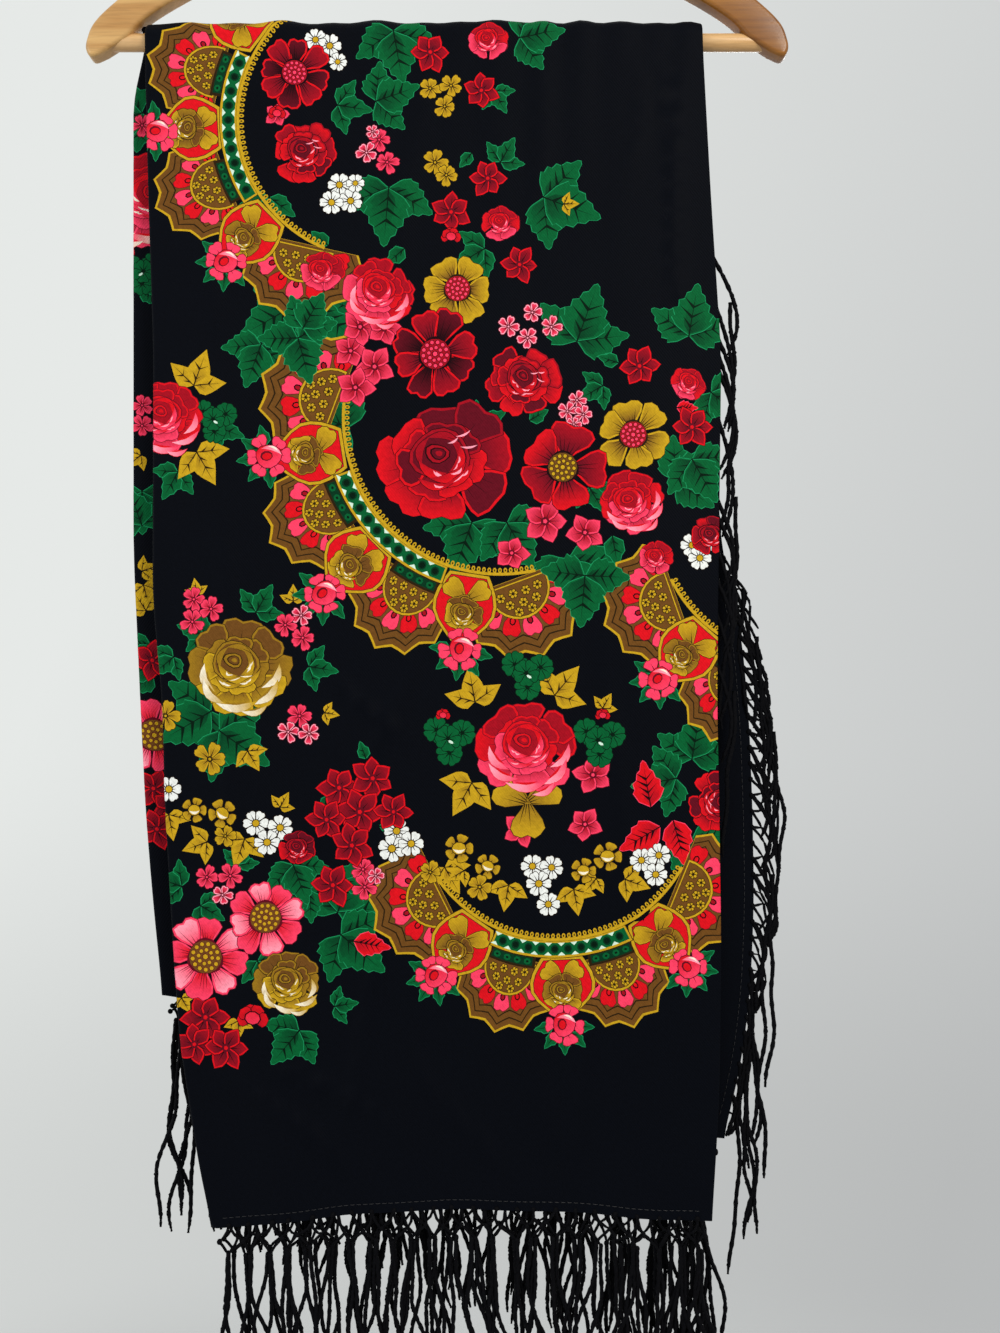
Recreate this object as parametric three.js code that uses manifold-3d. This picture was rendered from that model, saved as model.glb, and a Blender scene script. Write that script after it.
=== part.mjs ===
// A square floral shawl, folded twice lengthwise to four plies and hung over the bar of a flat wooden hanger.
// Millimetres. +X to the right, +Y away from the front, +Z up. The origin is the inner top of the hanger's hook.
import * as THREE from 'three';
import { mergeVertices } from 'three/addons/utils/BufferGeometryUtils.js';
import Module from 'manifold-3d';

const wasm = await Module();
wasm.setup();

// ---- hanger ----
const barDepth = 178; // bar axis below the hook's inner top
const barRadius = 5.5;
const barHalfLength = 207.5;
const armDepth = 14;
const armBevel = 2;
const armTopDepth = 68; // the wood's top below the hook's inner top, at the middle
const wireRadius = 2;
const hookRadius = 18; // clear radius inside the hook
const fitGap = 0.3;

// ---- cloth ----
const ply = 1.0; // wall of one ply
const plyGap = 0.3;
const hemBand = 5; // stitched band along each fringed edge
const returnWidth = 8; // the third ply's visible turn behind the right fold
const columns = 10; // steps across the folded width
const arcSteps = 3; // steps over the bar
const dropSteps = 9; // steps down each half

// ---- fringe ----
const knotPitch = 16;
const netHeight = 18;
const strandLength = 127; // below the net
const strandRadius = 1.15;
const strandSteps = 3;

// Distances of each ply's middle from the bar's axis, from the bar outwards.
const innerPly = barRadius + fitGap + ply / 2;
const fourthPly = innerPly + ply + plyGap;
const thirdPly = fourthPly + ply + plyGap;
const outerPly = thirdPly + ply + plyGap;
const foldRadius = (outerPly - innerPly) / 2;
const turnRadius = (outerPly - thirdPly) / 2;

// The folded outline of each half: how far down, the left fold, the right fold and the free edges behind it.
const frontOutline = [
  { drop: 0, left: -184.1, right: 166.9, free: 164.9 },
  { drop: 104, left: -181.6, right: 172.6, free: 170.6 },
  { drop: 199, left: -178.4, right: 178.9, free: 176.9 },
  { drop: 355, left: -179.0, right: 177.0, free: 175.0 },
  { drop: 418, left: -172.8, right: 176.3, free: 174.3 },
  { drop: 480, left: -171.5, right: 177.6, free: 175.6 },
  { drop: 575, left: -165.9, right: 178.9, free: 176.9 },
  { drop: 631, left: -162.1, right: 178.2, free: 176.2 },
  { drop: 668, left: -156.5, right: 177.6, free: 175.6 },
  { drop: 719, left: -148.3, right: 174.7, free: 172.7 },
  { drop: 750, left: -140.8, right: 172.6, free: 170.6 },
];
const backOutline = [
  { drop: 0, left: -186.0, right: 168.0, free: 166.0 },
  { drop: 24, left: -195.5, right: 169.0, free: 167.0 },
  { drop: 200, left: -195.5, right: 176.0, free: 174.0 },
  { drop: 324, left: -195.5, right: 178.0, free: 181.7 },
  { drop: 373, left: -193.2, right: 179.0, free: 193.9 },
  { drop: 430, left: -190.6, right: 180.0, free: 199.1 },
  { drop: 491, left: -187.6, right: 181.0, free: 201.3 },
  { drop: 547, left: -183.0, right: 181.0, free: 202.2 },
  { drop: 604, left: -177.2, right: 180.0, free: 199.8 },
  { drop: 650, left: -175.0, right: 178.0, free: 196.6 },
  { drop: 704, left: -174.0, right: 176.0, free: 190.0 },
];

// The hem's drop across each half, at whole steps of the columns: share of the width from the left fold,
// and how far below the bar's axis.
const frontHem = [
  { across: 0, drop: 749.3 },
  { across: 0.3, drop: 738.5 },
  { across: 0.5, drop: 735.5 },
  { across: 0.7, drop: 737.5 },
  { across: 1, drop: 744.4 },
];
const backHem = [
  { across: 0, drop: 604.5 },
  { across: 1, drop: 699 },
];

// Soft vertical folds: where each starts and ends across the width, its half width, its depth, where it begins.
const frontFolds = [
  { top: 0.08, hem: 0.17, halfWidth: 0.12, depth: 2.8, begins: 60 },
  { top: 0.33, hem: 0.38, halfWidth: 0.14, depth: 2.0, begins: 240 },
  { top: 0.62, hem: 0.6, halfWidth: 0.14, depth: 2.4, begins: 120 },
  { top: 0.88, hem: 0.86, halfWidth: 0.12, depth: 3.2, begins: 40 },
];
const backFolds = [
  { top: 0.14, hem: 0.1, halfWidth: 0.13, depth: 3.0, begins: 50 },
  { top: 0.42, hem: 0.47, halfWidth: 0.15, depth: 2.4, begins: 160 },
  { top: 0.7, hem: 0.74, halfWidth: 0.13, depth: 2.8, begins: 90 },
];

const halves = {
  front: { outline: frontOutline, hem: frontHem, folds: frontFolds, side: -1 },
  back: { outline: backOutline, hem: backHem, folds: backFolds, side: 1 },
};

const part = new THREE.Group();

function addMesh(name, geometry, color, roughness, metalness = 0) {
  const mesh = new THREE.Mesh(geometry, new THREE.MeshStandardMaterial({ color, roughness, metalness }));
  mesh.name = name;
  part.add(mesh);
}

function lookUp(table, key, at, value) {
  let row = 1;
  while (row < table.length - 1 && table[row][key] < at) {
    row += 1;
  }
  const low = table[row - 1];
  const high = table[row];
  const share = (at - low[key]) / (high[key] - low[key]);
  return THREE.MathUtils.lerp(low[value], high[value], THREE.MathUtils.clamp(share, 0, 1));
}

// How far a fold stands out at a share of the width and a drop.
function foldDepth(half, across, drop) {
  let depth = 0;
  for (const fold of half.folds) {
    const centre = THREE.MathUtils.lerp(fold.top, fold.hem, drop / 750);
    const reach = (across - centre) / fold.halfWidth;
    const growth = THREE.MathUtils.smoothstep(drop, fold.begins, fold.begins + 260);
    if (Math.abs(reach) < 1) {
      depth += fold.depth * growth * 0.5 * (1 + Math.cos(Math.PI * reach));
    }
  }
  return depth;
}

// The same between two columns, so that every ply bends along the same straight steps.
function steppedDepth(half, across, drop) {
  const step = THREE.MathUtils.clamp(Math.floor(across * columns), 0, columns - 1);
  const share = THREE.MathUtils.clamp(across * columns - step, 0, 1);
  const low = foldDepth(half, step / columns, drop);
  const high = foldDepth(half, (step + 1) / columns, drop);
  return THREE.MathUtils.lerp(low, high, share);
}

// A point at a place x across, at a distance from the bar's axis, below it by a drop.
function below(half, across, x, distance, drop) {
  const y = half.side * (distance + steppedDepth(half, across, drop));
  return new THREE.Vector3(x, y, -barDepth - drop);
}

// A point over the bar: angle 0 is the top of the bar.
function overBar(half, x, distance, angle) {
  const y = half.side * Math.max(distance * Math.sin(angle), plyGap / 2);
  return new THREE.Vector3(x, y, -barDepth + distance * Math.cos(angle));
}

// The rows of one half, from the top of the bar to the hem less a margin.
function rowsOf(half, margin) {
  const rows = [];
  for (let step = 0; step <= arcSteps; step += 1) {
    const angle = (step / arcSteps) * (Math.PI / 2);
    rows.push({ share: 0, place: (across, x, distance) => overBar(half, x, distance, angle) });
  }
  for (let step = 1; step <= dropSteps; step += 1) {
    const share = step / dropSteps;
    rows.push({
      share,
      place: (across, x, distance) => {
        const drop = share * (lookUp(half.hem, 'across', across, 'drop') - margin);
        return below(half, across, x, distance, drop);
      },
    });
  }
  return rows;
}

// Left, right and free edge at one share of the way down.
function edgesAt(half, share) {
  const leftDrop = share * lookUp(half.hem, 'across', 0, 'drop');
  const rightDrop = share * lookUp(half.hem, 'across', 1, 'drop');
  return {
    left: lookUp(half.outline, 'drop', leftDrop, 'left') + foldRadius + ply / 2,
    right: lookUp(half.outline, 'drop', rightDrop, 'right') - turnRadius - ply / 2,
    free: lookUp(half.outline, 'drop', rightDrop, 'free'),
  };
}

// The same at a drop, along the straight steps between two rows of the wall.
function edgesOnRows(half, drop) {
  const wallDrop = lookUp(half.hem, 'across', 1, 'drop') - hemBand - fitGap;
  const row = Math.min((drop / wallDrop) * dropSteps, dropSteps);
  const low = edgesAt(half, Math.floor(row) / dropSteps);
  const high = edgesAt(half, Math.ceil(row) / dropSteps);
  const between = (key) => THREE.MathUtils.lerp(low[key], high[key], row - Math.floor(row));
  return { left: between('left'), right: between('right'), free: between('free') };
}

// A closed wall between two faces of points, rows by stations. Every ply splits its squares along the same
// diagonal, whichever way its stations run, so that twisted squares of neighbouring plies stay parallel.
function wallBetween(faceA, faceB) {
  const positions = [];
  const rowCount = faceA.length;
  const count = faceA[0].length;
  const quad = (a, b, c, d) => {
    for (const p of [a, b, c, a, c, d]) {
      positions.push(p.x, p.y, p.z);
    }
  };
  for (let r = 0; r + 1 < rowCount; r += 1) {
    for (let s = 0; s + 1 < count; s += 1) {
      const a = [faceA[r][s], faceA[r][s + 1], faceA[r + 1][s + 1], faceA[r + 1][s]];
      const b = [faceB[r][s], faceB[r][s + 1], faceB[r + 1][s + 1], faceB[r + 1][s]];
      if (a[1].x > a[0].x) {
        quad(a[0], a[1], a[2], a[3]);
        quad(b[0], b[3], b[2], b[1]);
      } else {
        quad(a[1], a[2], a[3], a[0]);
        quad(b[1], b[0], b[3], b[2]);
      }
    }
    quad(faceA[r][0], faceA[r + 1][0], faceB[r + 1][0], faceB[r][0]);
    quad(faceA[r][count - 1], faceB[r][count - 1], faceB[r + 1][count - 1], faceA[r + 1][count - 1]);
  }
  for (let s = 0; s + 1 < count; s += 1) {
    quad(faceA[0][s], faceB[0][s], faceB[0][s + 1], faceA[0][s + 1]);
    quad(faceA[rowCount - 1][s], faceA[rowCount - 1][s + 1], faceB[rowCount - 1][s + 1], faceB[rowCount - 1][s]);
  }
  return outwards(positions);
}

// Signed volume decides the winding, so that faces point out.
function outwards(positions) {
  let volume = 0;
  for (let i = 0; i < positions.length; i += 9) {
    const a = new THREE.Vector3(...positions.slice(i, i + 3));
    const b = new THREE.Vector3(...positions.slice(i + 3, i + 6));
    const c = new THREE.Vector3(...positions.slice(i + 6, i + 9));
    volume += a.dot(b.cross(c));
  }
  if (volume < 0) {
    for (let i = 0; i < positions.length; i += 9) {
      for (let k = 0; k < 3; k += 1) {
        const kept = positions[i + 3 + k];
        positions[i + 3 + k] = positions[i + 6 + k];
        positions[i + 6 + k] = kept;
      }
    }
  }
  const geometry = new THREE.BufferGeometry();
  geometry.setAttribute('position', new THREE.Float32BufferAttribute(positions, 3));
  return geometry;
}

function toSolid(geometry) {
  const bare = geometry.clone();
  bare.deleteAttribute('normal');
  bare.deleteAttribute('uv');
  const merged = mergeVertices(bare, 1e-4);
  const vertProperties = new Float32Array(merged.attributes.position.array);
  const triVerts = new Uint32Array(merged.index.array);
  return new wasm.Manifold(new wasm.Mesh({ numProp: 3, vertProperties, triVerts }));
}

function fromSolid(solid) {
  const mesh = solid.getMesh();
  const geometry = new THREE.BufferGeometry();
  geometry.setAttribute('position', new THREE.Float32BufferAttribute(mesh.vertProperties, 3));
  geometry.setIndex(Array.from(mesh.triVerts));
  return geometry;
}

// The folded wall's section: the innermost ply from its free edge, round the left fold, the outer ply,
// round the right fold, and the third ply's short return.
function outerSection(edges, freeCut) {
  const width = edges.right - edges.left;
  const section = [];
  const add = (x, distance, nx, nd) => section.push({ across: (x - edges.left) / width, x, distance, nx, nd });
  const free = edges.free - freeCut;
  add(free, innerPly, 0, -1);
  add(Math.min(edges.right, free - 1), innerPly, 0, -1);
  for (let i = columns - 1; i >= 0; i -= 1) {
    add(edges.left + (width * i) / columns, innerPly, 0, -1);
  }
  const middle = (innerPly + outerPly) / 2;
  for (const degrees of [-120, -150, -180, -210, -240]) {
    const angle = THREE.MathUtils.degToRad(degrees);
    const nx = Math.cos(angle);
    const nd = Math.sin(angle);
    add(edges.left + foldRadius * nx, middle + foldRadius * nd, nx, nd);
  }
  for (let i = 0; i <= columns; i += 1) {
    add(edges.left + (width * i) / columns, outerPly, 0, 1);
  }
  for (const degrees of [45, 0, -45]) {
    const angle = THREE.MathUtils.degToRad(degrees);
    const nx = Math.cos(angle);
    const nd = Math.sin(angle);
    add(edges.right + turnRadius * nx, (outerPly + thirdPly) / 2 + turnRadius * nd, nx, nd);
  }
  add(edges.right, thirdPly, 0, -1);
  add(edges.right - returnWidth, thirdPly, 0, -1);
  return section;
}

// Outer ply, left fold, innermost ply and right fold of one half as one wall.
function outerWall(half, freeCut) {
  const faceA = [];
  const faceB = [];
  for (const row of rowsOf(half, hemBand + fitGap)) {
    const section = outerSection(edgesAt(half, row.share), freeCut(row.share));
    const at = (p, sign) => {
      const x = p.x + (sign * p.nx * ply) / 2;
      return row.place(p.across, x, p.distance + (sign * p.nd * ply) / 2);
    };
    faceA.push(section.map((p) => at(p, 1)));
    faceB.push(section.map((p) => at(p, -1)));
  }
  return wallBetween(faceA, faceB);
}

// The two hidden plies of one half as one solid: round at the left, stepped to one ply at the right.
function coreWall(half) {
  const low = fourthPly - ply / 2;
  const high = thirdPly + ply / 2;
  const middle = (low + high) / 2;
  const round = (high - low) / 2;
  const faceA = [];
  const faceB = [];
  for (const row of rowsOf(half, hemBand + fitGap)) {
    const edges = edgesAt(half, row.share);
    const width = edges.right - edges.left;
    const stations = [];
    for (const degrees of [180, 150, 120]) {
      const angle = THREE.MathUtils.degToRad(degrees);
      const rise = Math.max(round * Math.sin(angle), 0.15);
      stations.push({ x: edges.left + round * Math.cos(angle), low: middle - rise, high: middle + rise });
    }
    for (let i = 0; i < columns; i += 1) {
      stations.push({ x: edges.left + (width * i) / columns, low, high });
    }
    const step = edges.right - returnWidth - fitGap;
    stations.push({ x: step - 0.4, low, high });
    stations.push({ x: step, low, high: low + ply });
    stations.push({ x: edges.free - 3, low, high: low + ply });
    faceA.push(stations.map((s) => row.place((s.x - edges.left) / width, s.x, s.low)));
    faceB.push(stations.map((s) => row.place((s.x - edges.left) / width, s.x, s.high)));
  }
  return wallBetween(faceA, faceB);
}

// One yarn: a small triangle swept down a path of points.
function yarn(points, radius, turn = 0) {
  const faceCount = 3;
  const rings = points.map((p, index) => {
    const taper = index === points.length - 1 ? 0.7 : 1;
    const ring = [];
    for (let side = 0; side < faceCount; side += 1) {
      const angle = turn + (side * 2 * Math.PI) / faceCount;
      const offset = new THREE.Vector3(Math.cos(angle), Math.sin(angle), 0);
      ring.push(p.clone().addScaledVector(offset, radius * taper));
    }
    return ring;
  });
  const positions = [];
  const triangle = (a, b, c) => {
    for (const p of [a, b, c]) {
      positions.push(p.x, p.y, p.z);
    }
  };
  for (let r = 0; r + 1 < rings.length; r += 1) {
    for (let side = 0; side < faceCount; side += 1) {
      const next = (side + 1) % faceCount;
      triangle(rings[r][side], rings[r + 1][next], rings[r][next]);
      triangle(rings[r][side], rings[r + 1][side], rings[r + 1][next]);
    }
  }
  const last = rings[rings.length - 1];
  triangle(rings[0][0], rings[0][1], rings[0][2]);
  triangle(last[0], last[2], last[1]);
  return outwards(positions);
}

function joined(pieces) {
  return fromSolid(wasm.Manifold.union(pieces.map(toSolid)));
}

// Even but unlike waves for the yarns, from each yarn's number.
function sway(index, step, reach) {
  return reach * Math.sin(index * 2.4 + step * 1.3) * (step / strandSteps);
}

// A stitched band and the open net knotted under it, in one plate: along the edge, away from it, through it.
function netPlate(length, count, pitch, height, place) {
  const yarnHalf = 1;
  const slant = Math.hypot(pitch, height);
  const wide = (yarnHalf * slant) / height;
  const tall = (yarnHalf * slant) / pitch;
  const start = (length - count * pitch) / 2;
  const knot = (i) => start + i * pitch;
  const outline = [[0, -hemBand]];
  for (let i = 0; i <= count; i += 1) {
    outline.push([knot(i), -hemBand]);
  }
  outline.push([length, -hemBand], [length, 0], [knot(count) + wide, 0]);
  outline.push([knot(count) - pitch / 2 + wide, height / 2]);
  for (let i = count; i >= 0; i -= 1) {
    outline.push([knot(i) + wide, height], [knot(i) - wide, height]);
    if (i > 0) {
      outline.push([knot(i) - pitch / 2, height / 2 + tall]);
    }
  }
  outline.push([knot(0) + pitch / 2 - wide, height / 2], [knot(0) - wide, 0], [0, 0]);
  // A hundredth of a millimetre of unevenness keeps the corners off shared straight lines.
  const uneven = (along, away) => 0.02 * Math.sin(along * 1.7 + away * 2.9);
  const toPath = (points) => points.map(([along, away]) => new THREE.Vector2(along, away + uneven(along, away)));
  const shape = new THREE.Shape(toPath(outline));
  for (let i = 0; i < count; i += 1) {
    const middle = knot(i) + pitch / 2;
    const low = height / 2 - tall;
    shape.holes.push(new THREE.Path(toPath([[knot(i) + wide, 0], [middle, low], [knot(i + 1) - wide, 0]])));
    if (i > 0) {
      const left = knot(i) - pitch / 2 + wide;
      const right = knot(i) + pitch / 2 - wide;
      const diamond = [[left, height / 2], [knot(i), height - tall], [right, height / 2], [knot(i), tall]];
      shape.holes.push(new THREE.Path(toPath(diamond)));
    }
  }
  const plate = new THREE.ExtrudeGeometry(shape, { depth: ply, bevelEnabled: false });
  const points = (plate.index ? plate.toNonIndexed() : plate).attributes.position;
  const positions = [];
  for (let i = 0; i < points.count; i += 1) {
    const p = place(points.getX(i), points.getY(i), points.getZ(i) - ply / 2);
    positions.push(p.x, p.y, p.z);
  }
  return outwards(positions);
}

// The fringe under one ply's hem: its band, its net where wanted, and the yarns below.
function hemFringe(half, distance, from, to, withNet, drift) {
  const edges = edgesAt(half, 1);
  const width = edges.right - edges.left;
  const hemDrop = (across) => lookUp(half.hem, 'across', across, 'drop');
  const left = edges.left + from;
  const length = edges.right + to - left;
  const at = (along, lower, out = 0) => {
    const x = left + along;
    const across = (x - edges.left) / width;
    const reach = steppedDepth(half, across, hemDrop(across) - hemBand - fitGap);
    const y = half.side * (distance + out + reach);
    return new THREE.Vector3(x, y, -barDepth - hemDrop(across) - lower);
  };
  const count = Math.floor((length - 4) / knotPitch);
  const knot = (i) => (length - count * knotPitch) / 2 + i * knotPitch;
  const pieces = [];
  if (withNet) {
    pieces.push(netPlate(length, count, knotPitch, netHeight, at));
  } else {
    const along = [0, ...Array.from({ length: count + 1 }, (unused, i) => knot(i)), length];
    const face = (out) => [-hemBand, 0].map((lower) => along.map((s) => at(s, lower, out)));
    pieces.push(wallBetween(face(-ply / 2), face(ply / 2)));
  }
  const root = withNet ? netHeight : 0;
  for (let i = 0; i <= count; i += 1) {
    const hang = strandLength * (0.9 + 0.1 * Math.cos(i * 1.7)) + (netHeight - root);
    const path = [at(knot(i), root - 1.5)];
    for (let step = 1; step <= strandSteps; step += 1) {
      const point = at(knot(i), root + (hang * step) / strandSteps);
      point.x += sway(i, step, 3.2);
      point.y += half.side * (drift * step + 0.25 * Math.sin(i + step));
      path.push(point);
    }
    pieces.push(yarn(path, strandRadius, 0.5));
  }
  return joined(pieces);
}

// The fringe of a free side edge: its band and the yarns that step out of it and fall.
function sideFringe(half, fromDrop, toDrop, spread) {
  const length = toDrop - fromDrop;
  const at = (along, out, lift = 0) => {
    const drop = fromDrop + along;
    const edges = edgesOnRows(half, drop);
    const x = edges.free + out;
    const reach = steppedDepth(half, (x - edges.left) / (edges.right - edges.left), drop);
    const y = half.side * (innerPly + lift + reach);
    const sag = Math.max(out, 0) * 0.25;
    return new THREE.Vector3(x, y, -barDepth - drop - sag);
  };
  const count = Math.floor((length - 4) / knotPitch);
  const knot = (i) => (length - count * knotPitch) / 2 + i * knotPitch;
  const along = [0, ...Array.from({ length: count + 1 }, (unused, i) => knot(i)), length];
  const face = (lift) => along.map((s) => [at(s, -hemBand, lift), at(s, 0, lift)]);
  const pieces = [wallBetween(face(-ply / 2), face(ply / 2))];
  const clear = 2.6; // the yarns step out past the band before they fall
  for (let i = 0; i <= count; i += 2) {
    const path = [at(knot(i), -1), at(knot(i) + 4, clear)];
    for (let step = 1; step <= strandSteps; step += 1) {
      const point = at(knot(i), clear + (spread * step) / strandSteps + 0.3 * Math.sin(i + step * 1.5));
      point.z -= ((strandLength - 12) * step) / strandSteps;
      path.push(point);
    }
    pieces.push(yarn(path, strandRadius * 0.9, 0.5));
  }
  return joined(pieces);
}

// One half of the wooden bow, in the plane of the hanger, with its holes for the bar and the hook.
function hangerArm(side) {
  const shape = new THREE.Shape();
  const half = fitGap / 2;
  shape.moveTo(half, -armTopDepth);
  shape.splineThru([
    new THREE.Vector2(60, -76),
    new THREE.Vector2(120, -98),
    new THREE.Vector2(168, -126),
    new THREE.Vector2(201, -152.6),
    new THREE.Vector2(216, -167),
    new THREE.Vector2(221, -178),
    new THREE.Vector2(221.5, -185),
    new THREE.Vector2(218, -189),
    new THREE.Vector2(210, -186),
  ]);
  shape.splineThru([
    new THREE.Vector2(196, -177),
    new THREE.Vector2(184, -165),
    new THREE.Vector2(160, -150),
    new THREE.Vector2(110, -124),
    new THREE.Vector2(58, -105.5),
    new THREE.Vector2(half, -99),
  ]);
  shape.closePath();
  const body = new THREE.ExtrudeGeometry(shape, {
    depth: armDepth - 2 * armBevel,
    bevelEnabled: true,
    bevelThickness: armBevel,
    bevelSize: armBevel,
    bevelOffset: -armBevel,
    bevelSegments: 2,
    curveSegments: 2,
  });
  body.rotateX(Math.PI / 2);
  body.translate(0, armDepth / 2 - armBevel, 0);
  const barHole = new THREE.CylinderGeometry(barRadius + fitGap, barRadius + fitGap, 80, 16);
  barHole.rotateZ(Math.PI / 2);
  barHole.translate(barHalfLength + fitGap - 40, 0, -barDepth);
  const stemHole = new THREE.CylinderGeometry(wireRadius + fitGap, wireRadius + fitGap, 40, 12);
  stemHole.rotateX(Math.PI / 2);
  stemHole.translate(0, 0, -armTopDepth - 10);
  const cut = fromSolid(toSolid(body).subtract(toSolid(barHole)).subtract(toSolid(stemHole)));
  if (side > 0) {
    return cut;
  }
  cut.scale(-1, 1, 1);
  return outwards(Array.from(cut.toNonIndexed().attributes.position.array));
}

function hangerHook() {
  const wire = hookRadius + wireRadius;
  const points = [
    new THREE.Vector3(0, 0, -armTopDepth - 28),
    new THREE.Vector3(0, 0, -armTopDepth),
    new THREE.Vector3(0, 0, -armTopDepth + 12),
    new THREE.Vector3(2, 0, -hookRadius - 29),
    new THREE.Vector3(8.5, 0, -hookRadius - 20.5),
  ];
  for (const degrees of [-34, -10, 15, 40, 65, 90, 115, 140, 165, 190, 205]) {
    const angle = THREE.MathUtils.degToRad(degrees);
    points.push(new THREE.Vector3(wire * Math.cos(angle), 0, -hookRadius + wire * Math.sin(angle)));
  }
  const path = new THREE.CatmullRomCurve3(points, false, 'centripetal');
  const round = new THREE.Shape();
  round.absarc(0, 0, wireRadius, 0, 2 * Math.PI, false);
  return new THREE.ExtrudeGeometry(round, { extrudePath: path, steps: 30, curveSegments: 4 });
}

function hangerFerrule() {
  const low = -armTopDepth + fitGap;
  const profile = [
    new THREE.Vector2(wireRadius + fitGap, low),
    new THREE.Vector2(6, low),
    new THREE.Vector2(5, low + 2.4),
    new THREE.Vector2(wireRadius + fitGap, low + 2.4),
    new THREE.Vector2(wireRadius + fitGap, low),
  ];
  const collar = new THREE.LatheGeometry(profile, 16);
  collar.rotateX(Math.PI / 2);
  return collar;
}

function hangerBar() {
  const bar = new THREE.CylinderGeometry(barRadius, barRadius, 2 * barHalfLength, 16);
  bar.rotateZ(Math.PI / 2);
  bar.translate(0, 0, -barDepth);
  return bar;
}

// ---- the hanger ----
addMesh('hanger_arm_right', hangerArm(1), '#bf8a48', 0.4);
addMesh('hanger_arm_left', hangerArm(-1), '#cfa468', 0.4);
addMesh('hanger_bar', hangerBar(), '#c79a5c', 0.45);
addMesh('hanger_hook', hangerHook(), '#c9ccd0', 0.25, 1);
addMesh('hanger_ferrule', hangerFerrule(), '#c9ccd0', 0.3, 1);

// ---- the cloth ----
// Along the stretches that carry a side fringe, the innermost ply stops short by the stitched band.
const frontSide = { from: 130, to: 442 };
const backSide = { from: 330, to: 681 };
const bandCut = hemBand + fitGap;
addMesh('front_outer', outerWall(halves.front, () => bandCut), '#0e0d14', 0.85);
addMesh('front_core', coreWall(halves.front), '#0b0a10', 0.9);
addMesh('back_outer', outerWall(halves.back, () => bandCut), '#0e0d14', 0.85);
addMesh('back_core', coreWall(halves.back), '#0b0a10', 0.9);

// ---- the fringe ----
const yarnBlack = '#08080c';
addMesh('fringe_front_outer', hemFringe(halves.front, outerPly, 1, -1, true, 0.1), yarnBlack, 0.8);
addMesh('fringe_front_inner', hemFringe(halves.front, innerPly, 4, -6, false, -0.3), yarnBlack, 0.8);
addMesh('fringe_back_outer', hemFringe(halves.back, outerPly, 1, -1, true, 0.1), yarnBlack, 0.8);
addMesh('fringe_back_inner', hemFringe(halves.back, innerPly, 4, 8, false, -0.3), yarnBlack, 0.8);
addMesh('fringe_side_front', sideFringe(halves.front, frontSide.from, frontSide.to, 11), yarnBlack, 0.8);
addMesh('fringe_side_back', sideFringe(halves.back, backSide.from, backSide.to, 22), yarnBlack, 0.8);

export default part;
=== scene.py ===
import math
import random
import bmesh
import bpy
import numpy as np
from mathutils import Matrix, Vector
from mathutils.geometry import delaunay_2d_cdt


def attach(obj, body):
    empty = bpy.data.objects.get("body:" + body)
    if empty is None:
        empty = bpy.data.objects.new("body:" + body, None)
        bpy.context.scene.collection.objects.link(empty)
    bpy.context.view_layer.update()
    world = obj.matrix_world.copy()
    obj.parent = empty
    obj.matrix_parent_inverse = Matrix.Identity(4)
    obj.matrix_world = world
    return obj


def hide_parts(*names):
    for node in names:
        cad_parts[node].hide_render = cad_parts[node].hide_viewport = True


# A square wool shawl, folded lengthwise to four plies and hung over the bar of a flat wooden hanger.
# Sizes below are millimetres until a mesh is made. Across runs from left to right, down from the top of the bar.

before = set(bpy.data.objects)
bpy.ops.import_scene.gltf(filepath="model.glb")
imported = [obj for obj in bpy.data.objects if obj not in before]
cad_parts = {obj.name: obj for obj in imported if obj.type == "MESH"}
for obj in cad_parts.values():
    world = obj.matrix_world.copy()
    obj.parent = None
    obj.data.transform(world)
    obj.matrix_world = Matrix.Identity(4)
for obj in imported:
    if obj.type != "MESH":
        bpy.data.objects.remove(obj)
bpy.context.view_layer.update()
scene = bpy.context.scene
print("frame loaded:", len(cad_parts), "nodes")

view = {
    "place": (0.0397, -0.850, -0.574),  # level with the middle of the cloth, straight in front
    "lens": 36.15,
}


def addCamera():
    camera = bpy.data.objects.new("camera", bpy.data.cameras.new("camera"))
    camera.data.lens = view["lens"]
    camera.data.sensor_width = 36
    camera.data.clip_start = 0.01
    camera.location = view["place"]
    camera.rotation_euler = (math.radians(90), 0, 0)
    scene.collection.objects.link(camera)
    scene.camera = camera


addCamera()


# materials
def linear(colour):
    parts = [int(colour[i:i + 2], 16) / 255 for i in (0, 2, 4)]
    return [c / 12.92 if c <= 0.04045 else ((c + 0.055) / 1.055) ** 2.4 for c in parts] + [1.0]


def newMaterial(name):
    material = bpy.data.materials.new(name)
    material.use_nodes = True
    tree = material.node_tree
    tree.nodes.clear()
    return material, tree


# Adds one node: settings are its properties, values its sockets by name or number, a socket given as a value is linked.
def addNode(tree, kind, settings=None, **values):
    node = tree.nodes.new(kind)
    for key, value in (settings or {}).items():
        setattr(node, key, value)
    for key, value in values.items():
        name = key.replace("_", " ")
        socket = node.inputs[int(name[2:])] if name.startswith("at") and name[2:].isdigit() else node.inputs[name]
        if isinstance(value, bpy.types.NodeSocket):
            tree.links.new(value, socket)
        else:
            socket.default_value = value
    return node


def finishMaterial(tree, shader):
    addNode(tree, "ShaderNodeOutputMaterial", Surface=shader)


# Fine noise, and a colour that wavers with it between two tones.
def noiseTone(tree, scale, detail, dark, pale):
    place = addNode(tree, "ShaderNodeTexCoord")
    noise = addNode(tree, "ShaderNodeTexNoise", Vector=place.outputs["Object"], Scale=scale, Detail=detail)
    tone = addNode(tree, "ShaderNodeValToRGB", Fac=noise.outputs["Fac"])
    for stop, colour in zip(tone.color_ramp.elements, (dark, pale)):
        stop.color = linear(colour)
    return noise.outputs["Fac"], tone.outputs["Color"]


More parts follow.
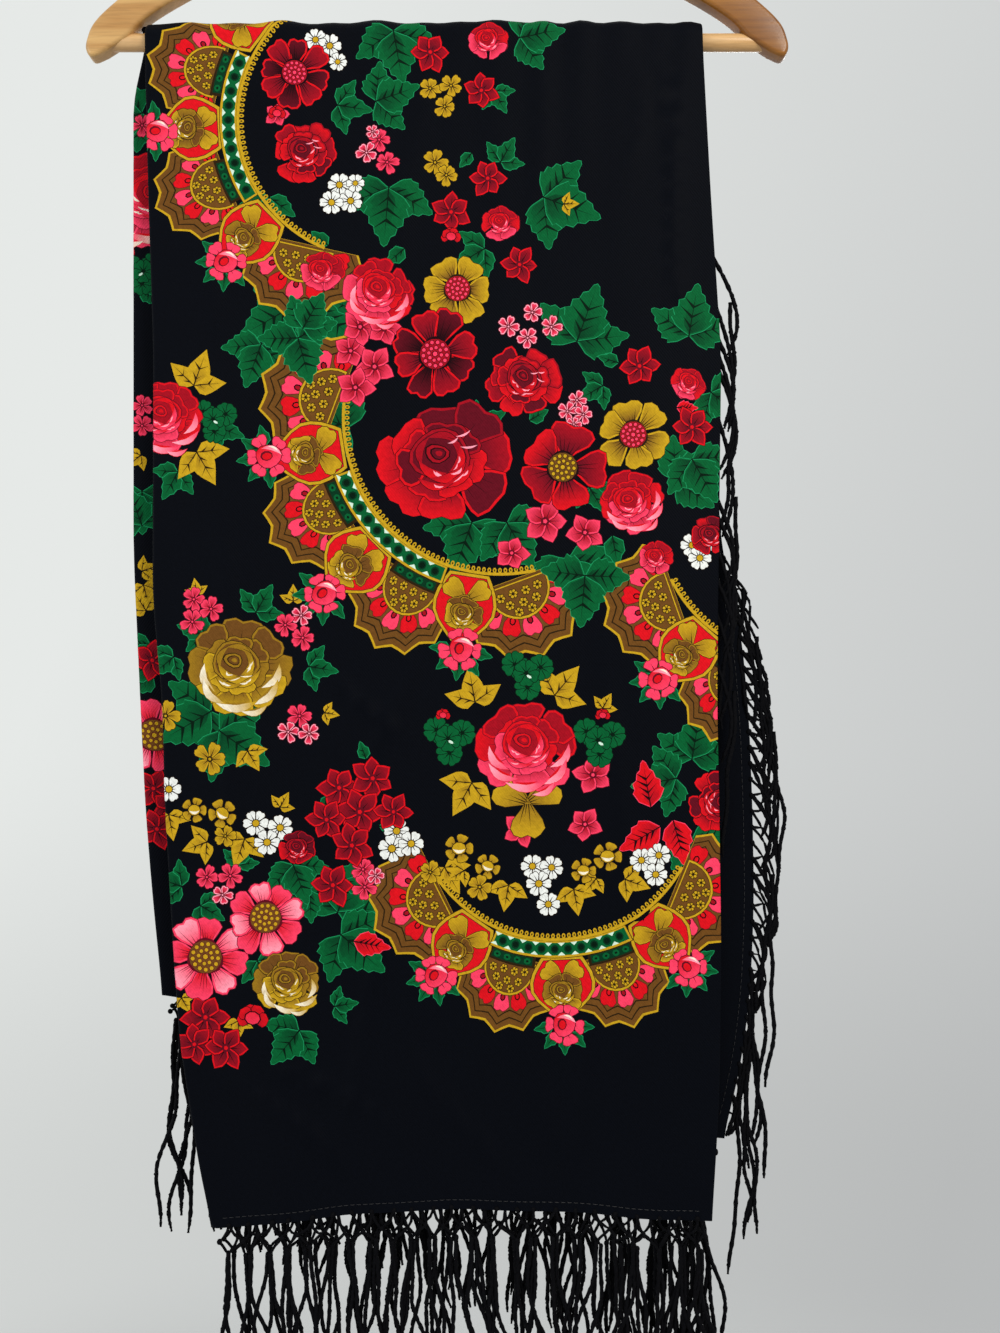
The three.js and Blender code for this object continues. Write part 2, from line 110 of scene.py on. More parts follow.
# Puts a mesh in the scene as an object at the origin.
def placedPiece(name, mesh):
    piece = bpy.data.objects.new(name, mesh)
    scene.collection.objects.link(piece)
    return piece


# Tells which body a piece rides on, and the solids it takes the place of.
def dress(piece, slotName, *nodes):
    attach(piece, "root")
    if nodes:
        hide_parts(*nodes)
    return piece


# the cloth's form
cloth = {
    "barDepth": 178.0,
    "innerPly": 6.3,  # each ply's middle, from the bar's axis
    "fourthPly": 7.6,
    "thirdPly": 8.9,
    "outerPly": 10.2,
    "thickness": 0.6,
    "returnWidth": 8.0,
    "leftInset": 2.45,  # from the edge that shows to where the cloth starts to turn
    "rightInset": 1.15,
    "gridStep": 8.0,
    "plainStep": 12.0,
}
overBar = cloth["outerPly"] * math.pi / 2  # cloth used by a quarter turn over the bar

frontHalf = {
    "side": -1,
    "drops": [0, 104, 199, 355, 418, 480, 575, 631, 668, 719, 750],
    "left": [-184.1, -181.6, -178.4, -179.0, -172.8, -171.5, -165.9, -162.1, -156.5, -148.3, -140.8],
    "right": [166.9, 172.6, 178.9, 177.0, 176.3, 177.6, 178.9, 178.2, 177.6, 174.7, 172.6],
    "free": [164.9, 170.6, 176.9, 175.0, 174.3, 175.6, 176.9, 176.2, 175.6, 172.7, 170.6],
    "hemAcross": [0, 0.3, 0.5, 0.7, 1],
    "hem": [749.3, 738.5, 735.5, 737.5, 744.4],
    "folds": [  # soft vertical folds: place at the top, at the hem, half width, depth, where it begins
        (0.08, 0.17, 0.12, 2.8, 60), (0.33, 0.38, 0.14, 2.0, 240), (0.62, 0.60, 0.14, 2.4, 120),
        (0.88, 0.86, 0.12, 3.2, 40),
    ],
    "creases": [  # from x, drop to x, drop, half width, height
        (150, 12, 157, 205, 3.5, 1.3), (141, 10, 147, 180, 3, 1.0), (128, 0, 122, 90, 6, 1.2),
        (60, 0, 66, 130, 7, 1.2), (-8, 0, -20, 150, 8, 1.2), (-92, 0, -80, 110, 8, 1.0),
        (-150, 4, -143, 190, 6, 1.2), (-130, 650, -52, 716, 5, 1.5), (-104, 646, -26, 684, 4, 1.3),
        (-30, 560, -66, 700, 5, 1.5), (-12, 640, 40, 716, 6, 1.3), (36, 560, 82, 705, 7, 1.4),
        (108, 380, 132, 640, 6, 1.5), (20, 330, 3, 420, 5, 1.3), (-10, 380, -44, 460, 5, 1.5),
        (-62, 400, -22, 445, 4, 1.3), (-135, 300, -128, 520, 5, 1.2), (92, 590, 88, 725, 7, 1.4),
    ],
}
backHalf = {
    "side": 1,
    "drops": [0, 24, 200, 324, 373, 430, 491, 547, 604, 650, 704],
    "left": [-186.0, -195.5, -195.5, -195.5, -193.2, -190.6, -187.6, -183.0, -177.2, -175.0, -174.0],
    "right": [168, 169, 176, 178, 179, 180, 181, 181, 180, 178, 176],
    "free": [166.0, 167.0, 174.0, 181.7, 193.9, 199.1, 201.3, 202.2, 199.8, 194.0, 181.0],
    "hemAcross": [0, 1],
    "hem": [604.5, 699],
    "folds": [(0.14, 0.10, 0.13, 3.0, 50), (0.42, 0.47, 0.15, 2.4, 160), (0.70, 0.74, 0.13, 2.8, 90)],
    "creases": [
        (-140, 0, -134, 160, 6, 1.2), (-60, 4, -72, 210, 7, 1.2), (20, 0, 28, 120, 7, 1.1),
        (96, 0, 90, 180, 6, 1.2), (52, 240, 30, 360, 5, 1.3), (-110, 330, -90, 560, 7, 1.4),
        (40, 300, 12, 590, 7, 1.3), (130, 260, 138, 560, 6, 1.3), (-30, 500, 60, 610, 6, 1.2),
        (-70, 540, -10, 640, 5, 1.4),
    ],
}


def softTable(half, key, drop):
    near = [np.interp(drop + off, half["drops"], half[key]) for off in (-18, -9, 0, 9, 18)]
    return sum(near) / 5


def edgesAt(half, drop):
    left = softTable(half, "left", drop) + cloth["leftInset"]
    right = softTable(half, "right", drop) - cloth["rightInset"]
    return left, right, softTable(half, "free", drop)


def hemDrop(half, across):
    near = [np.interp(np.clip(across + off, 0, 1), half["hemAcross"], half["hem"]) for off in (-0.06, 0, 0.06)]
    return sum(near) / 3


def smooth(value, low, high):
    t = np.clip((value - low) / (high - low), 0, 1)
    return t * t * (3 - 2 * t)


def foldDepth(half, x, across, drop):
    depth = np.zeros_like(across, dtype=float)
    for top, hem, halfWidth, deep, begins in half["folds"]:
        reach = np.clip((across - (top + (hem - top) * drop / 750)) / halfWidth, -1, 1)
        depth += deep * smooth(drop, begins, begins + 260) * 0.5 * (1 + np.cos(np.pi * reach))
    for x0, d0, x1, d1, halfWidth, high in half["creases"]:
        along = np.array([x1 - x0, d1 - d0], float)
        length = np.hypot(*along)
        t = ((x - x0) * along[0] + (drop - d0) * along[1]) / length**2
        bend = 3.5 * np.sin(t * 4.1 + x0)  # the crease wanders a little
        away = ((x - x0) * along[1] - (drop - d0) * along[0]) / length + bend
        ends = smooth(t, -0.15, 0.25) * (1 - smooth(t, 0.7, 1.15))
        depth += high * ends * np.exp(-(away / halfWidth) ** 2)
    return depth


# Small gathers where the plies bunch over the bar: place across, height, half width, how far down they run.
gatherCrests = [
    (-158, 1.8, 13, 60), (-128, 1.2, 10, 40), (-98, 3.2, 13, 90), (-66, 1.4, 9, 40), (-38, 3.4, 14, 120),
    (-8, 1.6, 9, 50), (14, 2.2, 11, 70), (37, 3.6, 12, 110), (52, 1.2, 6, 30), (67, 2.9, 8, 70), (91, 3.3, 9, 90),
    (116, 2.6, 11, 100), (139, 1.5, 8, 50), (158, 2.4, 8, 140),
]


def gathers(x, drop, angle):
    high = 0
    for place, tall, wide, run in gatherCrests:
        away = (x - place + 0.05 * drop * math.sin(place)) / wide
        high = high + tall * np.exp(-away ** 2 - np.maximum(drop, 0) / run)
    return high * (0.55 * np.cos(angle) + 0.45 * np.sin(angle) + 0.1)


# Where a point of the cloth lies: x, distance from the bar's axis, and the way its printed face looks, by section.
def wrapSection(along, left, right, plies):
    low, high = plies
    radius = (high - low) / 2
    turn = np.pi * radius
    third = (cloth["thirdPly"] + high) / 2
    small = (high - cloth["thirdPly"]) / 2
    x = np.array(along, float)
    distance = np.full_like(x, high)
    faceX = np.zeros_like(x)
    faceOut = np.ones_like(x)
    arc = left - along
    onFold = (arc > 0) & (arc <= turn)
    angle = np.clip(arc, 0, turn) / radius
    x = np.where(onFold, left - radius * np.sin(angle), x)
    distance = np.where(onFold, low + radius + radius * np.cos(angle), distance)
    faceX = np.where(onFold, -np.sin(angle), faceX)
    faceOut = np.where(onFold, np.cos(angle), faceOut)
    inner = arc > turn
    x = np.where(inner, left + arc - turn, x)
    distance = np.where(inner, low, distance)
    faceOut = np.where(inner, -1, faceOut)
    arc = along - right
    smallTurn = np.pi * small
    onTurn = (arc > 0) & (arc <= smallTurn)
    angle = np.clip(arc, 0, smallTurn) / max(small, 0.01)
    x = np.where(onTurn, right + small * np.sin(angle), x)
    distance = np.where(onTurn, third + small * np.cos(angle), distance)
    faceX = np.where(onTurn, np.sin(angle), faceX)
    faceOut = np.where(onTurn, np.cos(angle), faceOut)
    under = arc > smallTurn
    x = np.where(under, right - (arc - smallTurn), x)
    distance = np.where(under, cloth["thirdPly"], distance)
    faceOut = np.where(under, -1, faceOut)
    return x, distance, faceX, faceOut


outerPlies = (cloth["innerPly"], cloth["outerPly"])
corePlies = (cloth["fourthPly"], cloth["thirdPly"])


# From cloth sizes (along its width, down from the bar's top) to a place in metres, lifted off the cloth's middle.
def drape(half, plies, along, down, lift):
    along, down = np.asarray(along, float), np.asarray(down, float)
    angle = np.clip(down / overBar, 0, 1) * np.pi / 2
    drop = np.maximum(down - overBar, 0)
    left, right, _ = edgesAt(half, drop)
    x, distance, faceX, faceOut = wrapSection(along, left, right, plies)
    across = (x - left) / (right - left)
    depth = foldDepth(half, x, across, drop) * np.clip(drop / 40, 0, 1) + gathers(x, drop, angle)
    x = x + faceX * lift
    distance = distance + faceOut * lift
    onBar = drop <= 0
    reach = distance + depth
    y = half["side"] * np.where(onBar, reach * np.sin(angle), reach)
    z = -cloth["barDepth"] + np.where(onBar, reach * np.cos(angle), -drop)
    return np.stack([x, y, z], axis=-1) / 1000


def faceNormals(half, plies, along, down):
    step = 0.05
    a = drape(half, plies, along + step, down, 0) - drape(half, plies, along - step, down, 0)
    b = drape(half, plies, along, down + step, 0) - drape(half, plies, along, np.maximum(down - step, 0), 0)
    normal = np.cross(a, b) * half["side"]
    return normal / np.maximum(np.linalg.norm(normal, axis=-1, keepdims=True), 1e-12)


# the print
inks = {
    "ground": "03050c", "red": "d8101c", "crimson": "a00d1e", "maroon": "600c1c", "pink": "f83f62", "blush": "ff9fb2",
    "cream": "f2e8d2", "leaf": "045a2e", "moss": "03331c", "teal": "188a55", "mint": "cfe8d6", "gold": "c29a1c",
    "honey": "96701a", "brown": "6b451b", "umber": "2a1c0a", "white": "e8eae6", "dark": "1d050b", "deep": "021a0d",
}
inkValue = {name: np.array(linear(value)) for name, value in inks.items()}
shapes = []  # of outline, first ink, second ink, line from first to second


def inkShape(points, first, second=None, line=None):
    shapes.append((np.asarray(points, float), first, second or first, line))


def placed(points, x, y, degrees=0, size=1.0, squash=1.0):
    points = np.asarray(points, float) * size
    c, s = polar(1, degrees)
    return np.column_stack([x + points[:, 0] * c - points[:, 1] * squash * s,
                            y + points[:, 0] * s + points[:, 1] * squash * c])


def polar(away, degrees):
    return away * math.cos(math.radians(degrees)), away * math.sin(math.radians(degrees))


def grown(points, by):
    points = np.asarray(points, float)
    middle = points.mean(axis=0)
    away = points - middle
    reach = np.maximum(np.linalg.norm(away, axis=1, keepdims=True), 0.2)
    return middle + away * (1 + by / reach)


# A form with a rim of its edge's ink around it.
def edged(points, by, edge, x, y, degrees, ink, tip=None, line=None):
    inkShape(placed(grown(points, by), x, y, degrees), edge)
    inkShape(placed(points, x, y, degrees), ink, tip, line)


def oval(x, y, wide, tall=None, degrees=0, count=12, wobble=0.0):
    tall = wide if tall is None else tall
    turns = np.arange(count) * 2 * math.pi / count
    rim = 1 + wobble * np.sin(turns * 3 + x + y)
    return placed(np.column_stack([wide * rim * np.cos(turns), tall * rim * np.sin(turns)]), x, y, degrees)


petalForms = {  # along and half width, as shares of the petal's length and width
    "round": [(0, .14), (.2, .42), (.45, .8), (.7, 1), (.88, .86), (.98, .45), (.97, 0)],
    "heart": [(0, .14), (.22, .45), (.5, .85), (.75, 1), (.93, .8), (1, .4), (.93, 0)],
    "point": [(0, .3), (.25, .8), (.5, 1), (.75, .66), (1, 0)],
    "drop": [(0, .1), (.3, .55), (.6, 1), (.85, .8), (1, 0)],
}


def petalOutline(form, length, width, luck):
    half = petalForms[form]
    upper = [(a * length, w * width / 2 * luck.uniform(.9, 1.1)) for a, w in half]
    returning = reversed(half[:-1] if half[-1][1] == 0 else half)
    lower = [(a * length * luck.uniform(.97, 1.03), -w * width / 2 * luck.uniform(.9, 1.1)) for a, w in returning]
    return upper + lower


def petal(x, y, degrees, start, length, width, form, ink, tip, edge, streaks, luck, rim=None, rimWidth=.42):
    c, s = polar(1, degrees)
    baseX, baseY = x + start * c, y + start * s
    outline = placed(petalOutline(form, length, width, luck), baseX, baseY, degrees)
    inkShape(grown(outline, 0.45), edge)
    if rim:  # the petal's turned rim, brighter than its hollow
        inkShape(outline, rim)
        outline = grown(outline, -rimWidth)
    low, high = length * .2, length * .9
    inkShape(outline, ink, tip, ((baseX + low * c, baseY + low * s), (baseX + high * c, baseY + high * s)))
    for k in range(streaks):
        side = (k - (streaks - 1) / 2) / max(streaks, 1)
        reach = length * luck.uniform(.35, .85)
        spread = side * width * .72
        streak = [(length * .05, spread * .3 - .4), (reach, spread), (length * .05, spread * .3 + .4)]
        inkShape(placed(streak, baseX, baseY, degrees), edge)


def anemone(x, y, size, turn, tones, edge, rim, middle, dots, petals, heart):
    luck = random.Random(int(x * 7 + y * 13) & 1023)
    start = len(shapes)
    for k in list(range(0, petals, 2)) + list(range(1, petals, 2)):
        ink, tip = tones[k % len(tones)]
        angle = turn + k * 360 / petals + luck.uniform(-5, 5)
        reach = size * luck.uniform(.9, 1.06)
        begins, wide = size * heart * .6, size * luck.uniform(4.5, 5.3) / petals
        petal(0, 0, angle, begins, reach - begins, wide, "heart", ink, tip, edge, 5, luck, rim, .5 + size * .03)
    inkShape(oval(0, 0, size * heart * 1.1, count=16, wobble=.07), edge)
    inkShape(oval(0, 0, size * heart, count=14), middle)
    for count, away, wide in ((13, .78, .13), (8, .42, .12), (1, 0, .16)):  # stamens
        for k in range(count):
            for wider, ink in ((1.35, edge), (1, dots)):
                dot = oval(size * heart * away, 0, size * heart * wide * wider, count=6)
                inkShape(placed(dot, 0, 0, (k + .4 * count) * 360 / count), ink)
    moveShapes(start, x, y)


# Moves the shapes inked since a start, drawn about 0, 0, to their place on the cloth.
def moveShapes(start, x, y, degrees=0, squash=1.0, size=1.0):
    for i in range(start, len(shapes)):
        points, first, second, line = shapes[i]
        points = placed(points, x, y, degrees, size, squash)
        if line is not None:
            line = placed(line, x, y, degrees, size, squash)
        shapes[i] = (points, first, second, line)


def rose(x, y, size, tones, edge, rim, highlight, turn=0, squash=.93):
    dark, mid, bright = tones  # away from the light, between, and facing it
    luck = random.Random(int(x * 3 + y * 5) & 1023)
    start = len(shapes)
    big = size > 17
    rimWidth = .3 + size * .035

    def toneAt(angle):  # hollow, tip and rim
        light = math.sin(math.radians(angle - 20))
        if rim == "red":
            return (dark, luck.choice((dark, mid, bright)), mid if light < -.6 else bright)
        return (dark, dark, mid) if light < -.35 else ((dark, mid, mid) if light < .35 else (dark, bright, bright))

    count = 8 if big else 6
    for k in [(j * 3) % count for j in range(count)] if count == 8 else (0, 2, 4, 1, 3, 5):
        angle = k * 360 / count + luck.uniform(-12, 12)
        ink, tip, turned = toneAt(angle)
        long, wide = size * luck.uniform(.52, .74), size * luck.uniform(5.0, 6.6) / count
        form = luck.choice(("heart", "heart", "round"))
        petal(0, 0, angle, size * .3, long, wide, form, ink, tip, edge, 3, luck, turned, rimWidth)
    if big:
        for k in (0, 2, 4, 6, 1, 3, 5):
            angle = k * 51.4 + 20 + luck.uniform(-9, 9)
            ink, tip, turned = toneAt(angle)
            long, wide = size * luck.uniform(.42, .52), size * luck.uniform(.5, .62)
            petal(size * -.03, size * -.02, angle, size * .16, long, wide, "heart", ink, tip, edge, 3, luck, turned,
                  rimWidth)
    cup = size * (.44 if big else .54)
    cupX, cupY = -size * .05, -size * .1
    inkShape(oval(cupX, cupY, cup + .5, cup * .9 + .5, 15, 16, .07), edge)
    inkShape(oval(cupX, cupY, cup, cup * .9, 15, 16, .07), mid)
    inkShape(oval(cupX, cupY, cup - rimWidth, cup * .9 - rimWidth, 15, 14, .07), dark)
    # petals folded round the heart
    for angle, away, wide, thick in ((200, .5, 1.1, .34), (290, .5, 1.15, .34), (345, .46, .95, .32)):
        foldX, foldY = polar(cup * away, angle)
        edged(crescent(cup * wide, cup * thick), .4, edge, cupX + foldX, cupY + foldY, angle - 90, mid)
    heartX, heartY = cupX - cup * .1, cupY - cup * .06
    for reach, ink in ((.44, edge), (.39, mid), (.28, edge), (.23, dark), (.12, mid)):
        inkShape(oval(heartX + cup * (.44 - reach) * .2, heartY, cup * reach, cup * reach * .8, 25, 11, .08), ink)
    # lips in front of it
    lips = ((28, .46, 1.15, .4), (122, .46, 1.2, .42), (74, .6, 1.35, .46), (60, .86, 1.5, .4), (108, .92, 1.2, .36))
    for angle, away, wide, thick in lips:
        c, s = polar(1, angle)
        lipX, lipY = cupX + cup * away * c, cupY + cup * away * s
        lit = ((lipX, lipY), (lipX + cup * .3 * c, lipY + cup * .3 * s))
        edged(crescent(cup * wide, cup * thick), .45, edge, lipX, lipY, angle - 90, mid, bright, lit)
        for _ in range(2):
            shine = crescent(cup * wide * luck.uniform(.16, .42), cup * luck.uniform(.06, .12))
            off = luck.uniform(-.3, .3) * cup
            shineX, shineY = lipX + cup * .16 * c - off * s, lipY + cup * .16 * s + off * c
            inkShape(placed(shine, shineX, shineY, angle - 90 + luck.uniform(-22, 22)), highlight)
    if big and rim != "red":  # long light petals below, lying one over the other
        folds = ((150, .62, .62, .2), (24, .66, .6, .2), (128, .74, .66, .2), (50, .78, .7, .2), (92, .8, .8, .22),
                 (72, .98, .5, .16))
        for angle, away, wide, thick in folds:
            c, s = polar(1, angle)
            placeX, placeY, lean = size * away * c, size * (away * s - .08), angle - 90 + luck.uniform(-16, 16)
            lit = ((placeX + size * .3 * s, placeY - size * .3 * c),
                   (placeX - size * .22 * s, placeY + size * .22 * c))
            edged(crescent(size * wide, size * thick), .3, mid, placeX, placeY, lean, bright, highlight, lit)
            inkShape(placed(crescent(size * wide * .55, size * thick * .3), placeX, placeY, lean), mid)
    elif big:  # a few light strokes where the rims turn over
        for angle, away in ((-62, .34), (-50, .5), (-25, .42)):
            stroke = crescent(size * luck.uniform(.16, .26), size * .045)
            inkShape(placed(stroke, *polar(size * away, angle), angle + luck.uniform(20, 60)), highlight)
    moveShapes(start, x, y, turn, squash)


def crescent(length, thick):
    t = np.linspace(-1, 1, 7)
    outer = [(length / 2 * v, thick * (1 - v * v)) for v in t]
    inner = [(length / 2 * v, thick * .25 * (1 - v * v)) for v in reversed(t[1:-1])]
    return outer + inner


def star(x, y, size, turn, ink, tip, edge, petals, middle, form, wide, rim):
    luck = random.Random(int(x * 11 + y * 3) & 1023)
    for k in range(petals):
        angle = turn + k * 360 / petals + luck.uniform(-7, 7)
        petal(x, y, angle, size * .05, size * luck.uniform(.85, 1.05), size * wide, form, ink, tip, edge, 1, luck,
              rim, .35 + size * .05)
    inkShape(oval(x, y, size * .2, count=7), middle)
    inkShape(oval(x, y, size * .1, count=5), rim)


def daisy(x, y, size, turn=0):
    luck = random.Random(int(x * 5 + y * 17) & 1023)
    for k in range(6):
        petal(x, y, turn + k * 60, size * .2, size * .8, size * .72, "heart", "white", "white", "umber", 1, luck)
    inkShape(oval(x, y, size * .34, count=8), "umber")
    inkShape(oval(x, y, size * .27, count=8), "gold")


def leaf(x, y, degrees, length, width, ink="leaf", shade="moss", edge="deep", rim="teal", teeth=4, veins=3):
    luck = random.Random(int(x * 5 + y * 7 + degrees) & 1023)
    steps = max(teeth, 3) * 2
    upper, lower = [], []
    for k in range(1, steps):
        t = k / steps
        form = 1.18 * math.sin(math.pi * t ** .72) ** .95 * (1.08 - .5 * t) * width / 2
        for flank, side in ((upper, 1), (lower, -1)):
            if teeth and k % 2:  # a tooth leans forward, then steps back
                flank.append((t * length + length * .04, side * form * luck.uniform(1.0, 1.08)))
            else:
                flank.append((t * length, side * form * (.89 if teeth else 1) * luck.uniform(.97, 1.03)))
    outline = [(0, 0)] + upper + [(length, 0)] + lower[::-1]
    inkShape(placed(outline, x, y, degrees), rim)
    inkShape(placed(grown(outline, -.5), x, y, degrees), ink)
    for side, share in ((1, .84), (-1, .42)):  # a dark hollow each side of the midrib
        flank = upper if side > 0 else lower
        middle = [(a * .96, w * share * (1 - .45 * a / length)) for a, w in flank[1:-1]]
        hollow = [(length * .04, 0)] + middle + [(length * .86, 0)]
        inkShape(placed(hollow, x, y, degrees), shade, ink,
                 placed([(0, 0), (length * .5, side * width * .45)], x, y, degrees))
    inkShape(placed([(0, -.45), (length * .92, 0), (0, .45)], x, y, degrees), edge)
    for k in range(veins):
        t = .14 + .56 * k / max(veins, 1)
        for side in (-1, 1):
            tipAcross = side * width * .4 * math.sin(math.pi * (t + .1)) * luck.uniform(.8, 1)
            vein = [(t * length, -.32), ((t + .2) * length, tipAcross), ((t + .06) * length, .32)]
            inkShape(placed(vein, x, y, degrees), edge)


goldLeaf = {"ink": "gold", "shade": "honey", "edge": "umber", "rim": "gold", "teeth": 0, "veins": 2}


def leafTrio(x, y, degrees, length, width, spread=62, **look):
    for turn, share in ((-spread, .86), (spread, .86), (0, 1)):
        leaf(x, y, degrees + turn, length * share, width * share, **look)


def rosette(x, y, size, turn=0):
    luck = random.Random(int(x * 3 + y * 11) & 1023)
    for k in range(5):  # leaves around the outer side
        angle = turn - 84 + k * 42
        dx, dy = polar(size * .5, angle)
        leaf(x + dx, y + dy, angle, size * 1.05, size * .62, teeth=3, veins=1)
    for k in range(6):
        petal(x, y, k * 60 + luck.uniform(-8, 8), size * .4, size * luck.uniform(.5, .7), size * .74, "heart", "pink",
              "pink", "maroon", 1, luck)
    inkShape(oval(x, y, size * .64, size * .58, turn, 12, .05), "maroon")
    inkShape(oval(x, y, size * .6, size * .54, turn, 12, .05), "red", "pink",
             ((x - size * .3, y - size * .5), (x + size * .3, y + size * .5)))
    inkShape(oval(x - size * .1, y - size * .02, size * .3, size * .24, turn, 9), "maroon")
    inkShape(oval(x - size * .08, y, size * .23, size * .17, turn, 9), "red")
    inkShape(placed(crescent(size * 1.0, size * .3), x + size * .12, y - size * .22, 195), "blush", "pink",
             ((x + size * .3, y - size * .3), (x - size * .5, y - size * .5)))
    inkShape(placed(crescent(size * .5, size * .12), x + size * .2, y - size * .36, 205), "cream")


def roselet(x, y, size, turn=0):
    luck = random.Random(int(x * 9 + y * 4) & 1023)
    for k in range(5):
        petal(x, y, turn + k * 72, size * .3, size * .7, size * .8, "round", "honey", "gold", "umber", 1, luck)
    inkShape(oval(x, y, size * .55, size * .48, turn, 10), "umber")
    inkShape(oval(x, y, size * .48, size * .42, turn, 10), "gold")
    inkShape(placed(crescent(size * .85, size * .3), x, y + size * .05, turn), "cream")


def band(middleX, middleY, inner, outer, fromAngle, toAngle, ink, step=4):
    count = max(3, int(abs(toAngle - fromAngle) / step))
    angles = np.radians(np.linspace(fromAngle, toAngle, count + 1))
    out = [(middleX + outer * math.cos(a), middleY + outer * math.sin(a)) for a in angles]
    back = [(middleX + inner * math.cos(a), middleY + inner * math.sin(a)) for a in angles[::-1]]
    inkShape(out + back, ink)


# A half disc of round flowers, in petals and pointed scallops.
def fan(x, y, degrees, size, squash=.84):
    start = len(shapes)
    points = 7

    def scallops(reach, high):
        rim = []
        for k in range(points * 4 + 1):
            t = k / (points * 4)
            lobe = (1 - abs(2 * ((points * t) % 1) - 1)) ** 1.5 if 0 < t < 1 else 0
            away = (reach - high + high * lobe) * (.9 + .1 * math.sin(math.pi * t))
            rim.append(polar(away, -98 + 196 * t))
        return rim

    for reach, ink in ((2.52, "gold"), (2.43, "brown"), (2.22, "umber"), (2.165, "brown"), (1.95, "umber"),
                       (1.895, "brown")):
        inkShape(scallops(size * reach, size * .27), ink)
    luck = random.Random(int(x + y * 3) & 1023)
    for k in (0, 2, 4, 6, 1, 3, 5):
        angle = -87 + k * 29
        ink, eye = ("pink", "crimson") if k % 2 else ("red", "red")
        petal(0, 0, angle, size * .85, size * .86, size * .64, "heart", ink, ink, "maroon", 0, luck)
        eyeX, eyeY = polar(size * 1.2, angle)
        inkShape(oval(eyeX, eyeY, size * .15, size * .12, angle, 7), "dark")
        inkShape(oval(eyeX, eyeY, size * .1, size * .07, angle, 7), eye)
    disc = [polar(size * 1.06, a) for a in range(-98, 99, 14)]
    for by, ink in ((1.3, "umber"), (.9, "gold"), (-.6, "umber"), (-1.0, "brown")):
        inkShape(grown(disc, by), ink)
    for gx, gy in ((.16, -.66), (.2, -.22), (.18, .24), (.2, .7), (.54, -.48), (.56, 0), (.52, .48), (.84, -.22),
                   (.83, .26)):
        for k in range(6):  # a round flower of six lobes
            angle = k * math.pi / 3 + gx * 9
            px, py = size * (gx + .1 * math.cos(angle)), size * (gy + .1 * math.sin(angle))
            inkShape(oval(px, py, size * .085, count=6), "umber")
            inkShape(oval(px, py, size * .06, count=5), "gold")
        inkShape(oval(size * gx, size * gy, size * .05, count=5), "umber")
    moveShapes(start, x, y, degrees, squash)


# A red window between two bowed gold lines, with a gold rose in it.
def niche(x, y, degrees, wide, tall):
    start = len(shapes)

    def lens(by):
        rows = (0, .1, .25, .4, .55, .7, .82, .91, .97, 1)
        rim = []
        for t in rows:
            bow = .62 + .38 * math.sin(math.pi * min(t / .9, 1))
            across = (wide / 2 + by) * bow * (1 - max(t - .5, 0) ** 2 * 4) ** .5 if t < 1 else 0
            rim.append((t * tall + by * (t * 2 - 1), across))
        return rim + [(a, -w) for a, w in reversed(rim[:-1])]

    for by, ink in ((1.9, "umber"), (1.5, "gold"), (-.3, "maroon"), (-.8, "red")):
        inkShape(lens(by), ink)
    luck = random.Random(int(x + y) & 1023)
    for side in (-1, 1):
        petal(tall * .36, 0, side * 128, 0, tall * .4, wide * .34, "heart", "honey", "gold", "umber", 2, luck, "gold",
              .5)
    rose(tall * .58, 0, wide * .36, ("brown", "honey", "gold"), "umber", "gold", "cream", -90)
    moveShapes(start, x, y, degrees)


